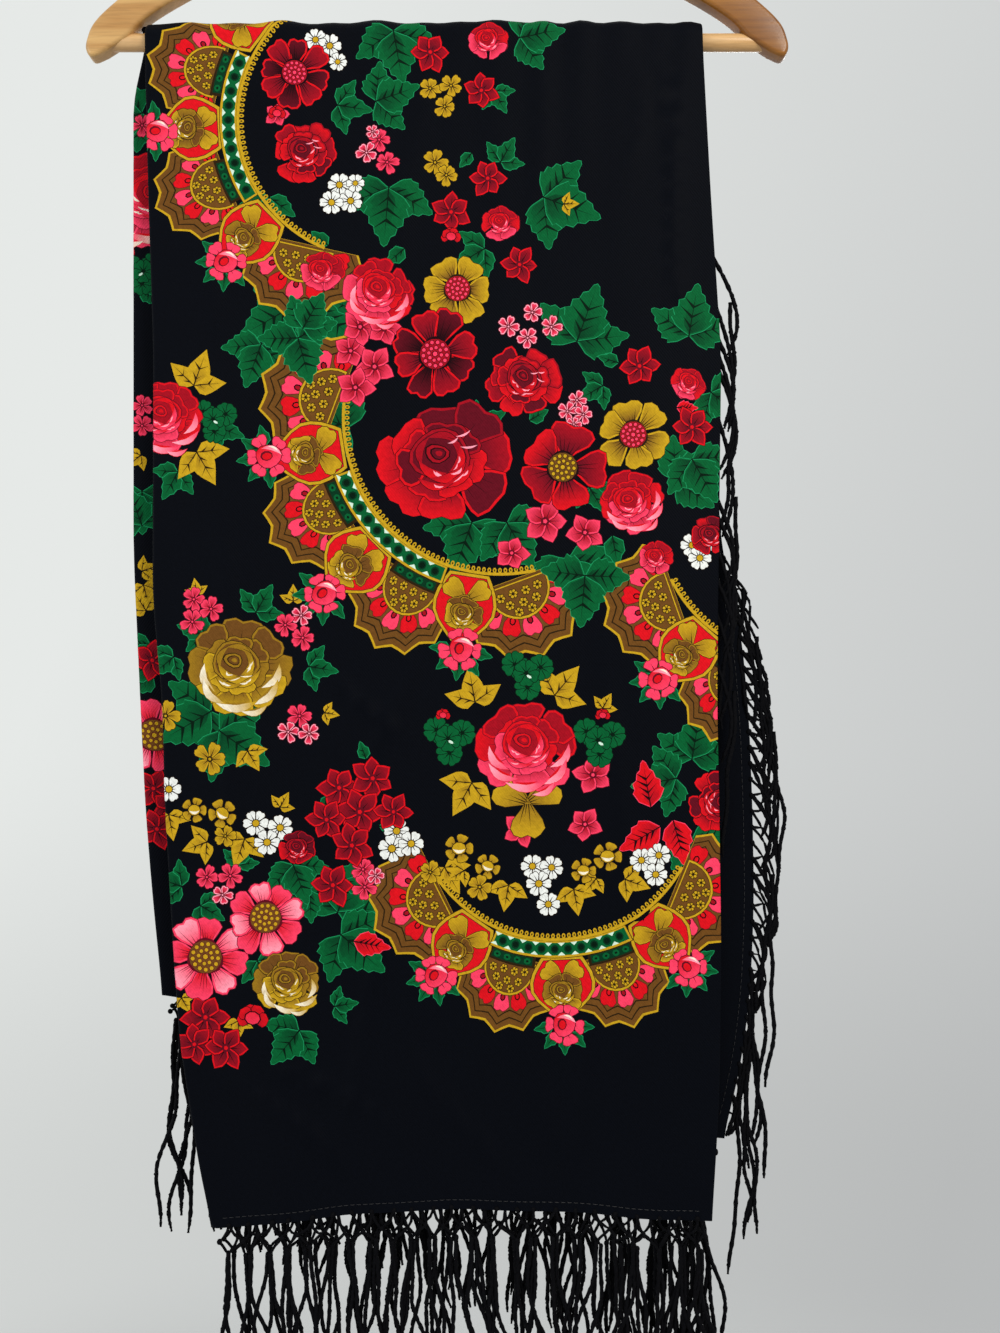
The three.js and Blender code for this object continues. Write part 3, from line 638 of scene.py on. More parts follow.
# A lace-like arc about a middle: beads, a green band, arched windows and fans.
def laceArc(x, y, reach, axis, size=1.0, stretch=1.0):
    def at(away, turn):
        dx, dy = polar(away, axis + turn)
        return x + dx, y + dy

    ends = 51 * stretch
    for turn in (-ends, ends):
        px, py = at(reach + 8 * size, turn)
        fan(px, py, axis + turn * 1.28, 17.5 * size, .98)
    for turn in (-17 * stretch, 17 * stretch):
        px, py = at(reach + 19 * size, turn)
        fan(px, py, axis + turn * .9, 17.5 * size)
        band(x, y, reach + 10.5 * size, reach + 19 * size, axis + turn - 8, axis + turn + 8, "umber")
        band(x, y, reach + 12.4 * size, reach + 17.6 * size, axis + turn - 7, axis + turn + 7, "moss")
        for k in range(4):
            px, py = at(reach + 15 * size, turn - 5.2 + 3.5 * k)
            inkShape(oval(px, py, 2.1 * size, 2.3 * size, axis + turn, 7), "leaf")
            inkShape(oval(px, py, .8 * size, 1.0 * size, axis + turn, 5), "deep")
    for turn in (-34 * stretch, 34 * stretch):
        px, py = at(reach + 3 * size, turn)
        niche(px, py, axis + turn * 1.06, 35 * size, 40 * size)
    px, py = at(reach + 12.5 * size, 0)
    niche(px, py, axis, 38 * size, 36 * size)
    wide = 26 * stretch
    band(x, y, reach + 1.2, reach + 12 * size, axis - wide, axis + wide, "umber")
    band(x, y, reach + 1.4, reach + 11.6 * size, axis - wide + .3, axis + wide - .3, "gold")
    band(x, y, reach + 2.3, reach + 10.2 * size, axis - wide + 1, axis + wide - 1, "leaf")
    count = 10
    gap = (wide - 1.5) * 2 / count
    for k in range(count):
        turn = (k + .5 - count / 2) * gap
        px, py = at(reach + 6.2 * size, turn)
        inkShape(oval(px, py, 2.9 * size, 2.6 * size, axis + turn, 9), "moss")
        inkShape(oval(px, py, 1.9 * size, 1.9 * size, 0, 7), "deep")
        for edge, tip in ((2.3, 4.4), (10.2 * size, 8.0 * size)):  # pale teeth between the dots
            inkShape([at(reach + edge, turn + gap * .22), at(reach + tip, turn + gap * .5),
                      at(reach + edge, turn + gap * .78)], "mint")
    band(x, y, reach - .6, reach + 1.2, axis - ends - 7, axis + ends + 7, "gold", step=3)
    beads = int((ends + 7) * 2 * math.radians(1) * reach / 3.4)
    for k in range(beads):
        turn = -ends - 7 + (ends + 7) * 2 * (k + .5) / beads
        px, py = at(reach - 2.0, turn)
        inkShape(oval(px, py, 1.75, 1.25, axis + turn, 7), "gold")
        inkShape(oval(px, py, .85, .5, axis + turn, 5), "umber")
    for turn, away in ((-35.5 * stretch, 1.5), (35.5 * stretch, 1.5), (0, 1.59)):
        px, py = at(reach * away, turn)
        rosette(px, py, 12.5 * size, axis + turn)


# The print's own plan. Each row is across, down from the bar's top, size and turn.
bouquets = {
    "redAnemones": [(-89, 40, 23, 10), (-1, 216, 28, 25)],
    "scarletAnemones": [(79, 287, 27, 0)],
    "pinkAnemones": [(-145, 594, 26, 8), (-107, 569, 24, 30)],
    "goldAnemones": [(13, 175, 22, 0), (123, 267, 23, 20)],
    "redRoses": [(-83, 90, 22, 0), (55, 233, 25, 20), (5, 283, 43, -8)],
    "pinkRoses": [(32, 20, 13, 0), (40, 134, 12, 0), (-72, 164, 14, 0), (-36, 177, 24, 10), (122, 309, 22, -20),
                  (137, 344, 11, 0), (158, 235, 12, 30), (-171, 255, 27, 0), (57, 462, 33, 0)],
    "goldRoses": [(-124, 412, 33, 0), (-93, 610, 22, 0)],
    "crimsonRoses": [(-87, 526, 12, 0), (176, 498, 20, 90), (172, 330, 13, 0)],
    "redStars": [(-4, 27, 12, 0), (28, 51, 11, 20), (32, 106, 11, 0), (9, 127, 12, 30), (52, 160, 11, 10),
                 (127, 224, 12, 0), (-61, 488, 13, 0), (-40, 482, 13, 30), (-48, 503, 14, 10), (-69, 508, 12, 0),
                 (-53, 524, 13, 20), (-27, 503, 11, 0), (-65, 549, 13, 0), (-145, 632, 14, 0),
                 (-152, 649, 12, 20), (-132, 651, 13, 0), (160, 262, 12, 0)],
    "pinkStars": [(-54, 214, 10, 0), (-39, 224, 12, 20), (-51, 237, 11, 0), (-48, 199, 11, 10), (68, 321, 13, 0),
                  (93, 328, 11, 30), (47, 341, 10, 0), (98, 480, 11, 40), (53, 514, 10, 0), (93, 511, 10, 20),
                  (-100, 66, 7, 0), (-33, 200, 10, 0)],
    "blossoms": [(-36, 82, 6.5, 0), (-44, 90, 6, 20), (-31, 96, 6.5, 0), (-40, 77, 4, 0), (60, 190, 6, 0),
                 (45, 199, 6, 0), (57, 206, 6, 20), (72, 199, 6, 0), (88, 245, 5.5, 0), (82, 252, 5.5, 0),
                 (92, 254, 5.5, 0), (86, 260, 4.5, 0), (-152, 370, 7, 0), (-153, 384, 7, 20), (-141, 376, 7, 0),
                 (-85, 380, 6, 0), (-95, 386, 6.5, 20), (-84, 394, 7, 0), (-86, 443, 7, 0), (-93, 453, 6, 0),
                 (-80, 454, 6, 20), (-46, 539, 7, 0), (-45, 550, 7, 20), (-38, 543, 5, 0), (-144, 544, 7, 0),
                 (-129, 543, 7, 20), (-134, 555, 6, 0)],
    "daisies": [(-67, 23, 6.5, 0), (-76, 19, 6, 20), (-62, 33, 5, 10), (-61, 110, 6.5, 0), (-54, 120, 6.5, 20),
                (-66, 121, 6.5, 0), (-51, 109, 5, 0), (160, 336, 6.5, 0), (171, 333, 6, 20), (165, 344, 6.5, 0),
                (-168, 489, 7, 0), (-113, 510, 7, 0), (-98, 513, 7, 20), (-106, 522, 7, 0), (-25, 515, 7, 0),
                (-28, 526, 7.5, 20), (-16, 523, 7, 0), (60, 537, 6.5, 0), (72, 538, 6.5, 20), (64, 548, 7, 0),
                (70, 561, 6.5, 0), (128, 533, 6.5, 0), (139, 530, 6.5, 20), (137, 542, 6.5, 0)],
    "roselets": [(-152, 502, 7, 0), (-134, 504, 8, 30), (14, 526, 8, 0), (32, 537, 7, 20), (92, 540, 7, 0),
                 (107, 531, 8, 0)],
    "goldStars": [(-4, 50, 6, 0), (9, 48, 6, 20), (5, 61, 6, 0), (-1, 96, 7, 0), (6, 104, 6, 20),
                  (-142, 470, 9, 0), (-170, 443, 8, 0), (27, 550, 7, 0), (-4, 541, 6, 0), (-132, 518, 6, 0)],
    "leafTrios": [  # with length and turn of the middle leaf
        (-30, 112, 33, 95), (-27, 14, 30, 80), (-38, 58, 26, -20), (-105, 118, 21, 100), (-62, 60, 20, 10),
        (52, 18, 26, -10), (36, 52, 14, 60), (67, 118, 34, 20), (30, 150, 20, 150), (40, 96, 16, -60),
        (-90, 186, 34, 150), (-76, 186, 30, 40), (-110, 210, 26, 110), (-55, 262, 32, 200), (22, 322, 32, 110),
        (44, 322, 30, 60), (82, 345, 36, 70), (150, 296, 30, -30), (160, 282, 28, 60), (88, 208, 34, -70),
        (158, 205, 30, -80), (172, 240, 24, 40), (-141, 440, 34, 150), (-136, 452, 34, 35), (-146, 392, 16, 200),
        (-113, 378, 18, -60), (-80, 412, 17, 10), (-165, 406, 16, 140), (160, 470, 28, -80), (150, 482, 26, 170),
        (160, 520, 24, 60), (-62, 566, 32, -70), (-60, 580, 32, 40), (-80, 552, 22, 150), (-86, 640, 24, 130),
        (-64, 625, 14, -10), (-160, 550, 18, 200), (-148, 562, 16, 30), (-124, 536, 14, -70),
        (-162, 290, 18, 120), (-138, 262, 17, 20), (-90, 536, 24, 70), (-112, 596, 18, 60), (26, 262, 18, -30),
        (104, 236, 16, 150), (96, 300, 16, 60)],
    "leavesOverLace": [(93, 355, 33, 95, 92), (-87, 206, 30, 75, 104), (-84, 200, 26, -60, 50)],
    "singleLeaves": [(-142, 262, 14, -60), (-68, 148, 14, -140), (-20, 150, 16, 140), (-52, 188, 16, 200),
                     (22, 90, 12, 130), (-57, 545, 16, 40), (-36, 512, 10, 0), (-69, 493, 10, 100),
                     (-44, 470, 12, -110), (114, 222, 14, 200), (110, 330, 20, 80), (58, 258, 14, -30)],
    "goldTrios": [(-152, 236, 20, -70), (-150, 278, 20, 60), (24, 434, 19, -100), (74, 430, 20, -50),
                  (22, 485, 20, 120), (-118, 465, 12, 60), (-20, 552, 13, 120), (5, 538, 16, 60),
                  (45, 549, 14, 100), (86, 552, 14, 80), (17, 540, 10, 150), (100, 545, 10, 130),
                  (118, 545, 14, 20), (-144, 522, 14, 160), (-120, 520, 16, 110), (-168, 505, 14, 80),
                  (-98, 500, 9, -60), (-150, 366, 8, -100), (-90, 371, 9, -90), (-70, 441, 8, 10),
                  (-124, 634, 10, 90), (80, 122, 8, 0), (-160, 620, 9, 60), (104, 438, 9, -60)],
    "goldBlooms": [(57, 497, 22, 90)],
    "redLeaves": [(134, 500, 30, -100), (140, 512, 30, 150), (148, 508, 30, 75), (-52, 584, 24, 10),
                  (150, 250, 14, 0)],
    "hydrangeas": [(57, 417, 8), (8, 458, 8), (102, 459, 8), (-139, 258, 7)],
    "rosebuds": [(-115, 633, 11), (9, 143, 7), (4, 443, 5), (104, 443, 5), (-100, 66, 6)],
}


def hydrangea(x, y, size):
    for k, (dx, dy) in enumerate(((-.9, -.7), (.9, -.5), (0, .9), (-.1, -.1))):
        for turn in range(5):
            luck = random.Random(k * 5 + turn)
            petal(x + dx * size, y + dy * size, turn * 72 + k * 30, size * .1, size * .8, size * .9, "heart", "leaf",
                  "leaf", "deep", 1, luck)
        inkShape(oval(x + dx * size, y + dy * size, size * .16, count=6), "deep")
    inkShape(oval(x + size * .1, y + size * .15, size * .2, size * .1, 30, 6), "mint")


def rosebud(x, y, size):
    luck = random.Random(int(x + y))
    for turn in (-100, -60, 180, 0, -140):
        petal(x, y, turn, 0, size * .9, size * .8, "drop", "crimson", "red", "dark", 1, luck)
    inkShape(oval(x, y - size * .1, size * .5, size * .42, 10, 9), "dark")
    inkShape(oval(x, y - size * .1, size * .42, size * .35, 10, 9), "red", "pink", ((x, y - size), (x, y + size)))


starLooks = {  # ink, tip, edge, petals, middle, form, width, rim
    "goldStars": ("honey", "gold", "umber", 5, "umber", "heart", .78, "gold"),
    "blossoms": ("crimson", "pink", "maroon", 5, "maroon", "heart", .72, "pink"),
    "pinkStars": ("crimson", "pink", "maroon", 5, "maroon", "point", .78, "pink"),
    "redStars": ("maroon", "crimson", "dark", 6, "maroon", "point", .74, "red"),
}
roseLooks = {  # dark, middle and bright tone, edge, rim, highlight
    "crimsonRoses": (("maroon", "crimson", "red"), "dark", "red", "blush"),
    "pinkRoses": (("crimson", "red", "pink"), "maroon", "pink", "blush"),
    "goldRoses": (("brown", "honey", "gold"), "umber", "gold", "cream"),
    "redRoses": (("maroon", "crimson", "red"), "dark", "red", "blush"),
}
anemoneLooks = {  # hollow and tip of two petals, edge, rim, middle, stamens, petals, size of the middle
    "goldAnemones": ((("brown", "gold"), ("honey", "gold")), "umber", "gold", "crimson", "pink", 6, .36),
    "pinkAnemones": ((("red", "pink"), ("pink", "blush")), "maroon", "pink", "brown", "gold", 8, .4),
    "scarletAnemones": ((("maroon", "crimson"), ("maroon", "red")), "dark", "red", "brown", "gold", 5, .34),
    "redAnemones": ((("dark", "maroon"), ("maroon", "crimson")), "dark", "red", "crimson", "pink", 8, .34),
}


def drawPrint():
    plan = bouquets
    for x, y, length, turn in plan["leafTrios"]:
        length *= 1.13
        big = length > 24
        leafTrio(x, y, turn, length, length * (.72 if big else .62), 64, teeth=6 if big else 4, veins=3 if big else 2)
    for x, y, length, turn in plan["singleLeaves"]:
        leaf(x, y, turn, length, length * .66, teeth=3, veins=2)
    for x, y, length, turn in plan["redLeaves"]:
        leaf(x, y, turn, length, length * .6, "red", "crimson", "dark", "pink", 5, 4)
    for x, y, length, turn in plan["goldTrios"]:
        length *= 1.2
        leafTrio(x, y, turn, length, length * .6, 66, **goldLeaf)
    laceArc(74.8, 492, 91, 88)
    laceArc(39.7, 256, 98, 135, 1.06)
    laceArc(-38, 69, 86.5, 177, 1.0, 1.14)
    laceArc(228, 316, 91, 95)
    for x, y, length, turn, spread in plan["leavesOverLace"]:
        leafTrio(x, y, turn, length, length * .8, spread, teeth=6, veins=3)
    for kind, draw in (("daisies", daisy), ("roselets", roselet)):
        for x, y, size, turn in plan[kind]:
            draw(x, y, size * 1.12, turn)
    for kind, larger in (("goldStars", 1.12), ("blossoms", 1.08), ("pinkStars", 1.12), ("redStars", 1.08)):
        for x, y, size, turn in plan[kind]:
            rim = "blush" if kind == "blossoms" and size < 6.3 else starLooks[kind][-1]
            star(x, y, size * larger, turn, *starLooks[kind][:-1], rim)
    for x, y, size in plan["hydrangeas"]:
        hydrangea(x, y, size * 1.12)
    for x, y, size in plan["rosebuds"]:
        rosebud(x, y, size)
    for x, y, size, turn in plan["goldBlooms"]:
        for angle in (-150, -30, 90):
            luck = random.Random(angle)
            petal(x, y, angle, 0, size, size * .95, "heart", "honey", "gold", "umber", 4, luck)
    for kind, look in roseLooks.items():
        for x, y, size, turn in plan[kind]:
            rose(x, y, size, *look, turn)
    for kind, look in anemoneLooks.items():
        for x, y, size, turn in plan[kind]:
            anemone(x, y, size, turn, *look)


drawPrint()
print("print drawn:", len(shapes), "shapes")


# Even-odd test of many points against one outline.
def insideOutline(px, py, outline):
    inside = np.zeros(len(px), bool)
    x0, y0 = outline[:, 0], outline[:, 1]
    x1, y1 = np.roll(x0, -1), np.roll(y0, -1)
    for ax, ay, bx, by in zip(x0, y0, x1, y1):
        if ay == by:
            continue
        crosses = ((ay > py) != (by > py)) & (px < (bx - ax) * (py - ay) / (by - ay) + ax)
        inside ^= crosses
    return inside


def clothOutline(half, plies, withReturn):
    fold = np.pi * (plies[1] - plies[0]) / 2
    rightHem = hemDrop(half, 1.0) + overBar

    def leftAt(down):
        left, _, free = edgesAt(half, max(down - overBar, 0))
        return left - fold - (free - left) + (0 if withReturn else 3)

    def rightAt(down):
        right = edgesAt(half, max(down - overBar, 0))[1]
        if withReturn:
            return right + np.pi * (plies[1] - cloth["thirdPly"]) / 2 + cloth["returnWidth"]
        return right - cloth["returnWidth"] - 0.3

    # the hem as it lies across the folded width, laid out flat along the cloth
    def hemAt(along):
        down = 700.0  # a first guess, made better four times
        for _ in range(4):
            left, right = edgesAt(half, down - overBar)[:2]
            x = wrapSection(np.array([along]), left, right, plies)[0][0]
            down = float(hemDrop(half, np.clip((x - left) / (right - left), 0, 1.05))) + overBar
        return down

    edgeLeft = leftAt(hemAt(leftAt(rightHem)))
    edgeRight = rightAt(hemAt(rightAt(rightHem)))
    count = int((edgeRight - edgeLeft) / 5)
    alongs = [edgeLeft + (edgeRight - edgeLeft) * k / count for k in range(count + 1)]
    hem = [(a, hemAt(a)) for a in alongs]
    leftSide = [(leftAt(d), d) for d in np.arange(0, hem[0][1] - 2, 6.0)]
    rightSide = [(rightAt(d), d) for d in np.arange(0, hem[-1][1] - 2, 6.0)]
    top = [(a, 0.0) for a in np.arange(leftSide[0][0] + 5, rightSide[0][0] - 2, 5.0)]
    return np.array(leftSide + hem + rightSide[::-1] + top[::-1])


# Which shape lies uppermost at each place: its number, or -1 for bare cloth.
def topmostAt(middles, used):
    order = np.argsort(middles[:, 1])
    middles = middles[order]
    topmost = np.full(len(middles), -1)
    for number, shape in enumerate(used):
        form = shape[0]
        first, last = np.searchsorted(middles[:, 1], [form[:, 1].min(), form[:, 1].max()])
        some = middles[first:last]
        near = np.nonzero((some[:, 0] > form[:, 0].min()) & (some[:, 0] < form[:, 0].max()))[0]
        if len(near):
            hit = near[insideOutline(some[near, 0], some[near, 1], form)]
            topmost[order[first + hit]] = number
    return topmost


def triangles(points, edges, outline):
    flat, _, faces, _, _, _ = delaunay_2d_cdt([Vector(p) for p in points], edges, [], 0, 1e-4)
    flat = np.array([(p.x, p.y) for p in flat])
    faces = np.array([f for f in faces if len(f) == 3])
    middles = flat[faces].mean(axis=1)
    keep = insideOutline(middles[:, 0], middles[:, 1], outline)
    return flat, faces[keep], middles[keep]


# The lines where one ink meets another, with points that lie on a straight run left out.
def inkSeams(outline, used):
    points, edges = [], []
    for form in [outline] + [shape[0] for shape in used]:
        base = len(points)
        points.extend(map(tuple, form))
        edges.extend((base + i, base + (i + 1) % len(form)) for i in range(len(form)))
    flat, faces, middles = triangles(points, edges, outline)
    topmost = topmostAt(middles, used)
    names = {name: number for number, name in enumerate(inks)}
    looks = [names[first] if first == second else 1000 + number for number, (_, first, second, _) in enumerate(used)]
    looks = np.array(looks + [names["ground"]])
    owner = np.tile(looks[topmost], 3)
    sides = np.sort(np.vstack([faces[:, [0, 1]], faces[:, [1, 2]], faces[:, [2, 0]]]), axis=1)
    order = np.lexsort((sides[:, 1], sides[:, 0]))
    sides, owner = sides[order], owner[order]
    same = np.all(sides[1:] == sides[:-1], axis=1)
    seams = sides[:-1][same & (owner[1:] != owner[:-1])]
    snapped, number = {}, {}
    snap = .16  # points that lie as near as this become one
    for v in np.unique(seams):
        number[v] = snapped.setdefault((round(flat[v, 0] / snap), round(flat[v, 1] / snap)), v)
    near = {}
    for a, b in seams:
        a, b = number[a], number[b]
        if a != b:
            near.setdefault(a, set()).add(b)
            near.setdefault(b, set()).add(a)
    for within in (.03, .06, .08, .08):
        held = set()
        for v in list(near):
            if v in held or len(near[v]) != 2:
                continue
            a, b = near[v]
            if a in held or b in held or b in near[a]:
                continue
            (ax, ay), (bx, by), (vx, vy) = flat[a], flat[b], flat[v]
            span = math.hypot(bx - ax, by - ay)
            aside = abs((bx - ax) * (vy - ay) - (by - ay) * (vx - ax))
            if .01 < span < 9 and aside / span < within:
                near[a].discard(v)
                near[b].discard(v)
                near[a].add(b)
                near[b].add(a)
                del near[v]
                held |= {a, b}
    return flat, sorted({(min(a, b), max(a, b)) for a in near for b in near[a]})


# The points along the rim of a flat mesh, in order.
def boundaryLoop(faces):
    sides = dict.fromkeys((int(f[i]), int(f[(i + 1) % 3])) for f in faces for i in range(3))
    following = {a: b for a, b in sides if (b, a) not in sides}
    loop = [next(iter(following))]
    while following[loop[-1]] != loop[0]:
        loop.append(following[loop[-1]])
    return loop


# A cloth sheet as one closed shell: printed face cut along its print, plain reverse, and a narrow rim.
def clothSheet(name, half, plies, withReturn, pattern):
    outline = clothOutline(half, plies, withReturn)
    lowest = outline[:, 1].max()
    low, high = outline[:, 0].min(), outline[:, 0].max()
    points = [tuple(p) for p in outline]
    edges = [(i, (i + 1) % len(points)) for i in range(len(points))]

    def addLine(line):
        base = len(points)
        points.extend(line)
        edges.extend((base + i, base + i + 1) for i in range(len(line) - 1))

    fold = np.pi * (plies[1] - plies[0]) / 2
    step, plainStep = cloth["gridStep"], cloth["plainStep"]
    downs = np.arange(0.4, lowest + step, step)
    left, right, _ = edgesAt(half, np.maximum(downs - overBar, 0))
    count = 6 if fold > 3 else 3
    guides = [left - fold * (k / count) for k in range(count + 1)]
    if withReturn:
        turn = np.pi * (plies[1] - cloth["thirdPly"]) / 2
        guides += [right, right + turn * .33, right + turn * .67, right + turn]
    for guide in guides:
        addLine([(a, d) for a, d in zip(guide, downs) if d < lowest + 3])
    rows = (3.0, 6.0, 9.0, 12.0, overBar, overBar + 2.5)
    for down in rows:
        addLine([(low - 4, down), (high + 4, down)])

    def gridOf(wide):
        grid = []
        for d in np.arange(overBar + 6, lowest + wide, wide):
            shift = wide / 2 if int(d / wide) % 2 else 0
            grid += [(a + shift, d) for a in np.arange(low, high, wide)]
        return grid + [(a, down) for down in (0.0,) + rows for a in np.arange(low, high, 5.0)]

    def meets(form):
        (left, top), (right, bottom) = form.min(axis=0), form.max(axis=0)
        return bottom >= 0 and top <= lowest and right >= low and left <= high

    points += gridOf(step if pattern else plainStep)
    used = [shape for shape in pattern if meets(shape[0])]
    if used:
        seamPoints, seams = inkSeams(outline, used)
        base = {}
        for v in sorted({v for seam in seams for v in seam}):
            base[v] = len(points)
            points.append(tuple(seamPoints[v]))
        edges += [(base[a], base[b]) for a, b in seams]
    flat, faces, middles = triangles(points, edges, outline)
    topmost = topmostAt(middles, used)

    # the reverse: the same boundary, a plain grid inside
    loop = boundaryLoop(faces)
    loopFlat = flat[loop]
    plainPoints = [tuple(p) for p in loopFlat] + gridOf(plainStep)
    plainEdges = [(i, (i + 1) % len(loop)) for i in range(len(loop))]
    for guide in guides:
        plainPoints += [(a, d) for a, d in zip(guide, downs) if d < lowest + 3]
    plain, _, plainFaces, plainFrom, _, _ = delaunay_2d_cdt([Vector(p) for p in plainPoints], plainEdges, [], 0, 1e-4)
    plain = np.array([(p.x, p.y) for p in plain])
    plainFaces = np.array([f for f in plainFaces if len(f) == 3])
    centre = plain[plainFaces].mean(axis=1)
    plainFaces = plainFaces[insideOutline(centre[:, 0], centre[:, 1], loopFlat)]
    loopIndex = {}
    for index, origins in enumerate(plainFrom):
        for origin in origins:
            if origin < len(loop):
                loopIndex[origin] = index

    thick = cloth["thickness"] / 2
    front = drape(half, plies, flat[:, 0], flat[:, 1], thick)
    back = drape(half, plies, plain[:, 0], plain[:, 1], -thick)
    frontNormal = faceNormals(half, plies, flat[:, 0], flat[:, 1])
    backNormal = -faceNormals(half, plies, plain[:, 0], plain[:, 1])
    vertices = np.vstack([front, back])
    offset = len(front)
    forward = half["side"] > 0
    frontFaces = faces if forward else faces[:, ::-1]
    backFaces = (plainFaces[:, ::-1] if forward else plainFaces) + offset
    rimFaces = []
    for i, a in enumerate(loop):
        b = loop[(i + 1) % len(loop)]
        c, d = loopIndex[(i + 1) % len(loop)] + offset, loopIndex[i] + offset
        quad = [(b, a, d), (b, d, c)] if forward else [(a, b, c), (a, c, d)]
        rimFaces += quad
    allFaces = np.vstack([frontFaces, backFaces, np.array(rimFaces)])
    # points outside the outline carry no face, and go
    kept, allFaces = np.unique(allFaces, return_inverse=True)
    allFaces = allFaces.reshape(-1, 3)
    vertices, flatAll = vertices[kept], np.vstack([flat, plain])[kept]
    pointNormals = np.vstack([frontNormal, backNormal])[kept]
    rimFaces = allFaces[len(frontFaces) + len(backFaces):]
    mesh = bpy.data.meshes.new(name)
    mesh.vertices.add(len(vertices))
    mesh.vertices.foreach_set("co", vertices.ravel())
    mesh.loops.add(allFaces.size)
    mesh.loops.foreach_set("vertex_index", allFaces.ravel())
    mesh.polygons.add(len(allFaces))
    mesh.polygons.foreach_set("loop_start", np.arange(0, allFaces.size, 3))
    mesh.polygons.foreach_set("use_smooth", np.ones(len(allFaces), bool))
    mesh.update(calc_edges=True)

    # ink at each face corner
    corner = np.tile(inkValue["ground"], (allFaces.size, 1))
    for number, (_, first, second, line) in enumerate(used):
        rows = np.nonzero(topmost == number)[0]
        if not len(rows):
            continue
        loops = (rows[:, None] * 3 + np.arange(3)).ravel()
        places = flatAll[allFaces[rows].ravel()]
        if line is None:
            share = np.zeros(len(places))
        else:
            a, b = np.array(line[0]), np.array(line[1])
            share = np.clip(((places - a) @ (b - a)) / max(float((b - a) @ (b - a)), 1e-9), 0, 1)
        corner[loops] = inkValue[first] * (1 - share[:, None]) + inkValue[second] * share[:, None]
    ink = mesh.color_attributes.new("ink", "FLOAT_COLOR", "CORNER")
    ink.data.foreach_set("color", corner.astype(np.float32).ravel())
    normals = pointNormals[allFaces.ravel()]
    backStart, rimStart = len(frontFaces) * 3, (len(frontFaces) + len(backFaces)) * 3
    tri = vertices[rimFaces]
    rimNormal = np.cross(tri[:, 1] - tri[:, 0], tri[:, 2] - tri[:, 0])
    rimNormal /= np.maximum(np.linalg.norm(rimNormal, axis=1, keepdims=True), 1e-12)
    normals[rimStart:] = np.repeat(rimNormal, 3, axis=0)
    mesh.normals_split_custom_set(normals.tolist())

    # flat cloth sizes for the weave, and one sheet of texture room: print, reverse and rim side by side
    flatCorner = flatAll[allFaces.ravel()]
    weave = mesh.uv_layers.new(name="flatCloth")
    weave.data.foreach_set("uv", (flatCorner / 1000).astype(np.float32).ravel())
    span = max(high - low, lowest) * 1.07
    room = np.column_stack([(flatCorner[:, 0] - low) / span + .003, flatCorner[:, 1] / span + .003])
    room[backStart:rimStart, 0] = .955 + .02 * (flatCorner[backStart:rimStart, 0] - low) / span
    room[rimStart:, 0] = .98 + .01 * (flatCorner[rimStart:, 0] - low) / span
    bake = mesh.uv_layers.new(name="OFBake")
    bake.data.foreach_set("uv", room.astype(np.float32).ravel())
    print(name, "has", len(allFaces), "triangles,", len(used), "inked shapes")
    return placedPiece(name, mesh)


# What shows of the back's innermost ply, beyond the left fold: its bouquets by their place down the back.
def foldedBouquets():
    start = len(shapes)
    for down, length, turn in ((58, 30, 20), (300, 28, 90), (322, 26, -70), (398, 20, 60), (418, 22, -30),
                               (170, 18, 200)):
        leafTrio(-203, down, turn, length, length * .76, teeth=4, veins=3)
    for down, length, turn in ((277, 12, 40), (360, 15, 100), (376, 14, -60), (351, 12, 200)):
        leafTrio(-202, down, turn, length, length * .6, **goldLeaf)
    hydrangea(-203, 160, 8)
    for down, turn in ((245, 0), (258, 20), (66, 10)):
        star(-203, down, 7, turn, *starLooks["blossoms"])
    rose(-206, 112, 34, ("crimson", "red", "pink"), "maroon", "pink", "cream")
    for across, down, turn in ((-196, 490, 0), (-205, 503, 20), (-195, 516, 40), (-203, 408, 10)):
        star(across, down, 13, turn, *starLooks["redStars"])
    anemone(-200, 456, 25, 10, *anemoneLooks["pinkAnemones"])
    made = shapes[start:]
    del shapes[start:]
    return made


# The back carries the same print, its rows counted from the other edge.
def backPattern():
    shift = 110.0
    moved = []
    for form, first, second, line in shapes:
        if form[:, 1].max() < 100:
            continue
        line = None if line is None else np.asarray(line, float) - (0, shift)
        moved.append((form - (0, shift), first, second, line))
    return moved + foldedBouquets()


shawlFront = clothSheet("shawl_front", frontHalf, outerPlies, True, shapes)
shawlBack = clothSheet("shawl_back", backHalf, outerPlies, True, backPattern())
coreFront = clothSheet("shawl_front_inside", frontHalf, corePlies, False, [])
coreBack = clothSheet("shawl_back_inside", backHalf, corePlies, False, [])
print("cloth made")


# yarn and wire, by nodes
def newNodeTree(name, inputs):
    tree = bpy.data.node_groups.new(name, "GeometryNodeTree")
    face = tree.interface
    face.new_socket("Geometry", in_out="INPUT", socket_type="NodeSocketGeometry")
    for label, value in inputs.items():
        kind = "NodeSocketInt" if isinstance(value, int) else "NodeSocketFloat"
        face.new_socket(label, in_out="INPUT", socket_type=kind).default_value = value
    face.new_socket("Material", in_out="INPUT", socket_type="NodeSocketMaterial")
    face.new_socket("Geometry", in_out="OUTPUT", socket_type="NodeSocketGeometry")
    return tree, addNode(tree, "NodeGroupInput").outputs


